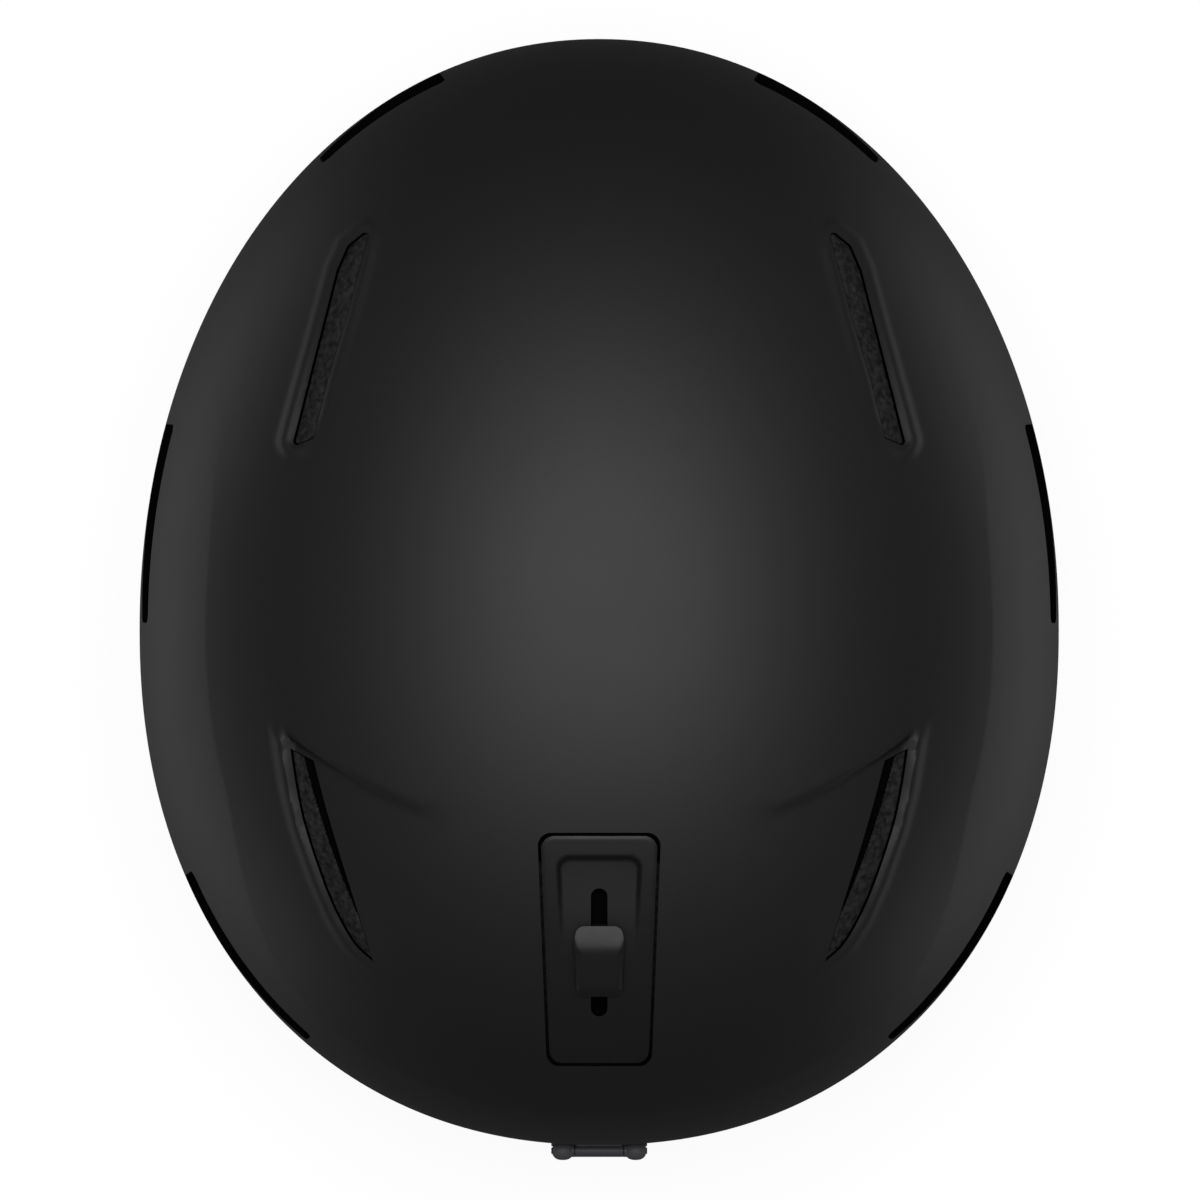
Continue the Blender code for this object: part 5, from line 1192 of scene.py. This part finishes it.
def ear_rows(sign):
    """Rows from the middle of one face, round the welt, to the middle of the other."""
    reach = even(ear_edge, EAR_POINTS) - EAR_MIDDLE
    shares = np.sin(np.linspace(0.03, 0.94, EAR_RINGS) * math.pi / 2)
    welt = [(WELT_SHARE + WELT_OUT * math.cos(turn), WELT_HIGH * math.sin(turn))
            for turn in np.linspace(WELT_TURN, -WELT_TURN, 9)]
    profile = [(r, swollen(r)) for r in shares] + welt + [(r, -swollen(r)) for r in shares[::-1]]
    for r, out in profile:
        flat = EAR_MIDDLE + reach * r
        x = np.full(len(flat), sign * (EAR_X + EAR_THICK * (0.5 + out)))
        yield np.column_stack([x, flat])


for side, sign in (("left", -1), ("right", 1)):
    ear = new_piece(f"ear_cushion_{side}", stacked("ear_cushion", list(ear_rows(sign))))
    finish_pad(ear, f"ear_pad_{side}", EAR_FILL)

# %% [markdown]
# ## Straps
# The harness is woven webbing, 16 mm wide and 1.6 mm thick. Each strap is a flat section carried along a
# path. As in the CAD model, the section's width always lies along Y, so the V-straps, which run at a slant,
# come out narrower than real webbing. The right chin strap ends in the buckle's tongue.

# %% Webbing helper
STRAP_X, STRAP_HALF, STRAP_THICK = 0.0852, 0.008, 1.6 * MM
STRAP_Y = -0.006
STRAP_POINTS, STRAP_POWER = 28, 6.0
WEAVE_THICK, SELVEDGE_MORE, SELVEDGE = 0.86, 0.14, (0.80, 0.92)


def strap(name, path, steps=60):
    """Webbing along a path of (x, y, z) points, with its width along Y."""
    path = np.asarray(path, float)
    run = np.concatenate([[0.0], np.cumsum(np.linalg.norm(np.diff(path, axis=0), axis=1))])
    spots = np.linspace(0.0, run[-1], steps)
    middle = np.column_stack([np.interp(spots, run, path[:, axis]) for axis in range(3)])
    ahead = np.gradient(middle, axis=0)
    flat = np.column_stack([-ahead[:, 2], np.zeros(steps), ahead[:, 0]])
    flat /= np.linalg.norm(flat, axis=1, keepdims=True)
    section = [squared(TURN * step / STRAP_POINTS, STRAP_POWER) for step in range(STRAP_POINTS)]
    section = [(c, s * (WEAVE_THICK + SELVEDGE_MORE * ramp(*SELVEDGE, abs(c)))) for c, s in section]
    rows = []
    for centre, face in zip(middle, flat):
        rows.append([centre + np.array([0, STRAP_HALF * c, 0]) + face * STRAP_THICK / 2 * s
                     for c, s in section])
    return new_piece(name, stacked(name, rows))

# %% [markdown]
# On each side two straps run down from anchors under the rim and meet at a divider, as a V.

# %% V-straps
ANCHOR_Z, DIVIDER_TOP_Z = 0.0504, 0.0343
V_STRAPS = (("front", 0.018, 0.0026), ("rear", -0.052, -0.0146))   # y at the anchor and at the divider
for side, sign in (("left", -1), ("right", 1)):
    for place, top, foot in V_STRAPS:
        run = [(sign * STRAP_X, top, ANCHOR_Z), (sign * STRAP_X, foot, DIVIDER_TOP_Z)]
        made = strap(f"{place}_webbing_{side}", run, steps=24)
        dress(made, "helmet", [f"{place}_strap_{side}"], webbing, sharp=60.0)

# %% [markdown]
# Below the dividers one strap on each side turns in under the chin and meets the other at the buckle. The
# left one ends in the socket, and the right one at the tongue.

# %% Chin straps
CHIN_Z, CHIN_BEND, DIVIDER_FOOT_Z = 0.0043, 0.014, 0.0217
SOCKET_X, TONGUE_X, BLEND_X = -0.0463, -0.0061, 0.070


def chin_path(start, sign):
    """From the buckle along the ground, round a bend and up to the divider."""
    x, z = STRAP_X - CHIN_BEND, CHIN_Z + CHIN_BEND
    arc = [(sign * (x + CHIN_BEND * math.sin(turn)), STRAP_Y, z - CHIN_BEND * math.cos(turn))
           for turn in np.linspace(0, math.pi / 2, 12)]
    return [(start, STRAP_Y, CHIN_Z)] + arc + [(sign * STRAP_X, STRAP_Y, DIVIDER_FOOT_Z)]


chin_left = strap("chin_webbing_left", chin_path(SOCKET_X, -1))
dress(chin_left, "helmet", ["chin_strap_left"], webbing, sharp=60.0)
chin_right = strap("chin_webbing_right", chin_path(TONGUE_X, 1), steps=90)
chin_right.data.materials.append(webbing)
chin_right.data.shade_smooth()
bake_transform(chin_right)
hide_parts("chin_strap_right")
print(chin_right.name, len(chin_right.data.vertices), "points")

# %% [markdown]
# The chin pad is a soft sleeve that the strap runs through. Its ends are drawn in round the webbing.

# %% Chin pad
CHIN_PAD_X, CHIN_PAD_HALF, CHIN_PAD_FILL = 0.0356, 0.018, 0.6
CHIN_PAD_WIDE, CHIN_PAD_DRAWN = 0.0101, 0.0018
CHIN_PAD_THICK, CHIN_PAD_THINNED, CHIN_PAD_EVEN = 0.0029, 0.0014, 0.92
CHIN_RIB, CHIN_RIB_HALF_PITCH = 0.05, 0.006
CHIN_PAD_POINTS, CHIN_PAD_POWER = 48, 2.8
section = [squared(TURN * step / CHIN_PAD_POINTS, CHIN_PAD_POWER) for step in range(CHIN_PAD_POINTS)]
pad_rows = []
for x in CHIN_PAD_X + CHIN_PAD_HALF * np.sin(np.linspace(-1, 1, 34) * math.pi / 2):
    end = (abs(x - CHIN_PAD_X) / CHIN_PAD_HALF) ** 6
    rib = CHIN_RIB * math.cos((x - CHIN_PAD_X) / CHIN_RIB_HALF_PITCH * math.pi)
    half = CHIN_PAD_WIDE - CHIN_PAD_DRAWN * end
    thick = CHIN_PAD_THICK * (CHIN_PAD_EVEN + rib) - CHIN_PAD_THINNED * end
    pad_rows.append([(x, STRAP_Y + half * c, CHIN_Z + thick * s) for c, s in section])
chin_pad = new_piece("chin_cushion", stacked("chin_cushion", pad_rows))
finish_pad(chin_pad, "chin_pad", CHIN_PAD_FILL)

# %% [markdown]
# ## Moulded fittings
# The clips, the dial and its bands come out of moulds with small radii on their edges. Each takes the CAD
# node's own mesh, gains a narrow bevel, and stands for the node. The bevel is what catches a line of light.
# A CAD mesh has double points along its edges, which are merged first, or a bevel would find no edges.

# %% Bevelled copies
WELD = 0.001 * MM
CORNER_MARGIN, CORNER_TURN, CORNER_ALONG = 0.5 * MM, 1.0, 0.85


def welded(mesh, additions=(), corner=0.0):
    """A copy of a mesh: double points merged, flat faces whole, corners rounded and parts added if asked."""
    bm = bmesh.new()
    bm.from_mesh(mesh)
    bmesh.ops.remove_doubles(bm, verts=bm.verts, dist=WELD)
    bmesh.ops.dissolve_limit(bm, angle_limit=math.radians(1.0), verts=bm.verts, edges=bm.edges)
    if corner:
        heights = [v.co.z for v in bm.verts]
        low, high = min(heights) + CORNER_MARGIN, max(heights) - CORNER_MARGIN
        deep = [e for e in bm.edges if e.calc_face_angle(0.0) > CORNER_TURN
                and not low < e.verts[0].co.z < high
                and abs((e.verts[0].co - e.verts[1].co).normalized().y) > CORNER_ALONG]
        bmesh.ops.bevel(bm, geom=deep, offset=corner, segments=6, profile=0.5, affect="EDGES",
                        clamp_overlap=True)
    for part in additions:
        bm.from_mesh(part)
        bpy.data.meshes.remove(part)
    copy = bpy.data.meshes.new(mesh.name)
    bm.to_mesh(copy)
    bm.free()
    return copy


def moulded(node, body, material, radius, additions=(), corner=0.0, slim=None):
    """Stands for a CAD node with its own mesh, bevelled by a mould radius, with parts added if any."""
    piece = new_piece(f"{node}_moulded", welded(nodes[node].data, corner=corner))
    if slim:
        slimmed(piece.data, *slim)
    piece.matrix_world = nodes[node].matrix_world
    bevel = piece.modifiers.new("mould_radius", "BEVEL")
    bevel.width, bevel.segments, bevel.angle_limit = radius, 3, math.radians(35)
    bevel.use_clamp_overlap = True
    applied(piece)
    if additions:
        piece.data = welded(piece.data, additions)
    return dress(piece, body, [node], material, sharp=45.0)

# %% [markdown]
# The dial, the dividers and the anchors are black. The rest of the adjuster and the buckle are dark grey. The
# housing's corners, seen from behind, get a larger radius than its edges.

# %% Adjuster, buckle and harness fittings
HOUSING_CORNER = 4.0 * MM
BLACK_FITTINGS = [("fit_dial", "fit_dial", 0.35)]
BLACK_FITTINGS += [(f"strap_divider_{side}", "helmet", 0.9) for side in ("left", "right")]
BLACK_FITTINGS += [(f"strap_anchor_{end}_{side}", "helmet", 0.6)
                   for end in ("front", "rear") for side in ("left", "right")]
GREY_FITTINGS = [("adjuster_hanger", "helmet", 0.3), ("fit_band_left", "fit_band_left", 0.15),
                 ("fit_band_right", "fit_band_right", 0.15), ("buckle_socket", "helmet", 0.5),
                 ("buckle_tongue", "buckle_tongue", 0.4)]
for node, body, radius in BLACK_FITTINGS:
    moulded(node, body, nylon_black, radius * MM)
for node, body, radius in GREY_FITTINGS:
    moulded(node, body, nylon_grey, radius * MM)
for node, radius in (("dial_housing", 0.7), ("housing_cover", 0.4)):
    moulded(node, "helmet", nylon_grey, radius * MM, corner=HOUSING_CORNER)

# %% [markdown]
# The goggle clip is seen from above, so it gets more care. Its barrel is drawn in about the pin. Its arm
# gains two full knuckles round the pin, and three grip ribs near its foot.

# %% Goggle clip helpers
low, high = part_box("goggle_clip_pin")
pin = (low + high) / 2


def slimmed(mesh, inner, outer, share, half):
    """Draws in the round part of a hinge that lies between two radii about its pin."""
    for point in mesh.vertices:
        arm = Vector((0.0, point.co.y - pin.y, point.co.z - pin.z))
        if inner < arm.length < outer:
            x = max(-half, min(half, point.co.x))
            point.co = Vector((x, pin.y, pin.z)) + arm * share


def bead(name, middle, half, radii, out, power=4):
    """A rounded bar along x: full in the middle, drawn in to nothing at its ends."""
    turn = np.linspace(0, TURN, 25)[:-1]
    up = Vector((0.0, -out.z, out.y))
    rows = []
    for t in np.linspace(-0.995, 0.995, 15):
        full = (1 - abs(t) ** power) ** 0.5
        wide, tall = out * radii[0] * full, up * radii[1] * full
        ring = [middle + wide * math.cos(a) + tall * math.sin(a) for a in turn]
        rows.append(np.array(ring) + np.array([half * t, 0.0, 0.0]))
    return stacked(name, rows)


print("clip pin at z", round(pin.z / MM, 1), "mm")

# %% Goggle clip
CLIP_RADIUS = 0.2 * MM
BASE_SLIM = (1.2 * MM, 1.8 * MM, 0.7, 0.1)
ARM_SLIM = (1.9 * MM, 2.2 * MM, 0.76, 10.9 * MM)
KNUCKLE_X_MM, KNUCKLE_HALF, KNUCKLE_RADII = 9.1, 2.8 * MM, (2.35 * MM, 2.35 * MM)
RIB_RISES_MM, RIB_HALF, RIB_RADII = (3.4, 6.0, 8.6), 8.5 * MM, (0.55 * MM, 0.75 * MM)
moulded("goggle_clip_base", "helmet", nylon_grey, CLIP_RADIUS, slim=BASE_SLIM)
arm = nodes["goggle_clip_arm"]
turned = arm.matrix_world.to_3x3()
face = max((f for f in arm.data.polygons if (turned @ f.normal).y < -0.6), key=lambda f: f.area)
out = (turned @ face.normal).normalized()
down = Vector((0.0, -out.z, out.y))
reach = [arm.matrix_world @ v.co - pin for v in arm.data.vertices]
foot, proud = max(r.dot(down) for r in reach), out.dot(arm.matrix_world @ face.center - pin)
knuckles = [bead("knuckle", pin + Vector((x * MM, 0.0, 0.0)), KNUCKLE_HALF, KNUCKLE_RADII, out, power=2.6)
            for x in (-KNUCKLE_X_MM, KNUCKLE_X_MM)]
ribs = [bead("rib", pin + down * (foot - rise * MM) + out * proud, RIB_HALF, RIB_RADII, out, power=8)
        for rise in RIB_RISES_MM]
moulded("goggle_clip_arm", "goggle_clip", nylon_grey, CLIP_RADIUS, knuckles + ribs,
        slim=ARM_SLIM)

# %% [markdown]
# Five small pieces are shown as the CAD model has them: the slider's stem and shutter, the pinion, the screw
# and the pin. They only need their materials.

# %% Plain pieces
# The shutter takes the near-black of painted shade, since it is seen only as the dark inside of the slots.
PLAIN = {"slider_stem": nylon_black, "vent_shutter": painted_shade_black, "dial_pinion": nylon_grey,
         "dial_screw": plated_steel, "goggle_clip_pin": black_steel}
for node, material in PLAIN.items():
    for spot in range(len(nodes[node].data.materials)):
        nodes[node].data.materials[spot] = material
print("plain pieces", ", ".join(PLAIN))

# %% [markdown]
# ## Stage
# A studio floor and a soft overhead box. The box gives the one wide glow on the crown, and two long strips
# low at the sides draw the edges out of the black. The camera sees floor and sky as white through Light Path,
# while the floor keeps the helmet's shadow. Glossy rays see both only faintly, because black lacquer would
# show a white surround as a bright hem.

# %% Floor
FLOOR_SEEN, FLOOR_MIRRORED = 0.93, 0.03
floor_paint, shader = new_material("floor_matt_paint", "#565656", 0.9, Specular_IOR_Level=0.1)
path = add_node(floor_paint, "ShaderNodeLightPath")
mirrored = add_node(floor_paint, "ShaderNodeMath",
                    {0: path.outputs["Is Glossy Ray"], 1: path.outputs["Is Transmission Ray"]},
                    operation="MAXIMUM")
faint = add_node(floor_paint, "ShaderNodeMath", {0: mirrored.outputs["Value"]}, {1: FLOOR_MIRRORED},
                 operation="MULTIPLY")
plain = add_node(floor_paint, "ShaderNodeMath", {0: path.outputs["Is Camera Ray"]}, {1: FLOOR_SEEN},
                 operation="MULTIPLY")
glow = add_node(floor_paint, "ShaderNodeMath", {0: plain.outputs["Value"], 1: faint.outputs["Value"]},
                operation="ADD")
shader.inputs["Emission Color"].default_value = linear("#ffffff")
connect(floor_paint, glow.outputs["Value"], shader.inputs["Emission Strength"])
HALF_FLOOR = 12.0
floor_mesh = bpy.data.meshes.new("floor")
floor_mesh.from_pydata([(-HALF_FLOOR, -HALF_FLOOR, 0), (HALF_FLOOR, -HALF_FLOOR, 0),
                        (HALF_FLOOR, HALF_FLOOR, 0), (-HALF_FLOOR, HALF_FLOOR, 0)], [], [(0, 1, 2, 3)])
floor_mesh.materials.append(floor_paint)
floor = new_piece("floor", floor_mesh)
print("floor", 2 * HALF_FLOOR, "m wide")

# %% [markdown]
# The lamps are area lights, because a soft, wide source gives the lacquer its soft, wide glow. The camera
# doesn't see them.

# %% Lamps
BOX_PLACE, BOX_TARGET, BOX_SIDE, BOX_WATTS = (0.0, 0.17, 2.0), (0.0, 0.0, 0.1), 0.9, 27.0
STRIP_X, STRIP_TARGET_X, STRIP_Y = 0.23, 0.10, -0.01
STRIP_Z, STRIP_TARGET_Z = 0.01, 0.11
STRIP_LONG, STRIP_TALL, STRIP_WATTS = 0.50, 0.16, 0.26


def softbox(name, place, target, width, height, watts):
    """An area lamp that the camera doesn't see."""
    lamp = bpy.data.lights.new(name, "AREA")
    lamp.shape = "RECTANGLE"
    lamp.size, lamp.size_y, lamp.energy = width, height, watts
    box = bpy.data.objects.new(name, lamp)
    box.location = place
    box.rotation_euler = (Vector(target) - Vector(place)).to_track_quat("-Z", "Y").to_euler()
    box.visible_camera = False
    bpy.context.scene.collection.objects.link(box)
    return box


def side_strip(name, sign):
    """A long strip beside the helmet, aimed a little above its widest level."""
    return softbox(name, (sign * STRIP_X, STRIP_Y, STRIP_Z), (sign * STRIP_TARGET_X, STRIP_Y, STRIP_TARGET_Z),
                   STRIP_LONG, STRIP_TALL, STRIP_WATTS)


key = softbox("overhead_box", BOX_PLACE, BOX_TARGET, BOX_SIDE, BOX_SIDE, BOX_WATTS)
left = side_strip("left_strip", -1)
right = side_strip("right_strip", 1)
print("lamps", key.name, left.name, right.name)

# %% [markdown]
# The world fills the shadows a little. Light Path lets the camera see it as plain white at the same time.

# %% World
WORLD_LIGHT, WORLD_SEEN = 0.21, 1.0
world = bpy.data.worlds.new("studio")
world.use_nodes = True
bpy.context.scene.world = world
sky = world.node_tree.nodes["Background"]
path = add_node(world, "ShaderNodeLightPath")
seen = add_node(world, "ShaderNodeMath",
                {0: path.outputs["Is Camera Ray"], 1: path.outputs["Is Transmission Ray"]},
                operation="MAXIMUM")
level = add_node(world, "ShaderNodeMapRange", {"Value": seen.outputs["Value"]},
                 {"To Min": WORLD_LIGHT, "To Max": WORLD_SEEN})
connect(world, level.outputs["Result"], sky.inputs["Strength"])
sky.inputs["Color"].default_value = linear("#ffffff")
bpy.context.scene.view_settings.view_transform = "Standard"
print("world", world.name)
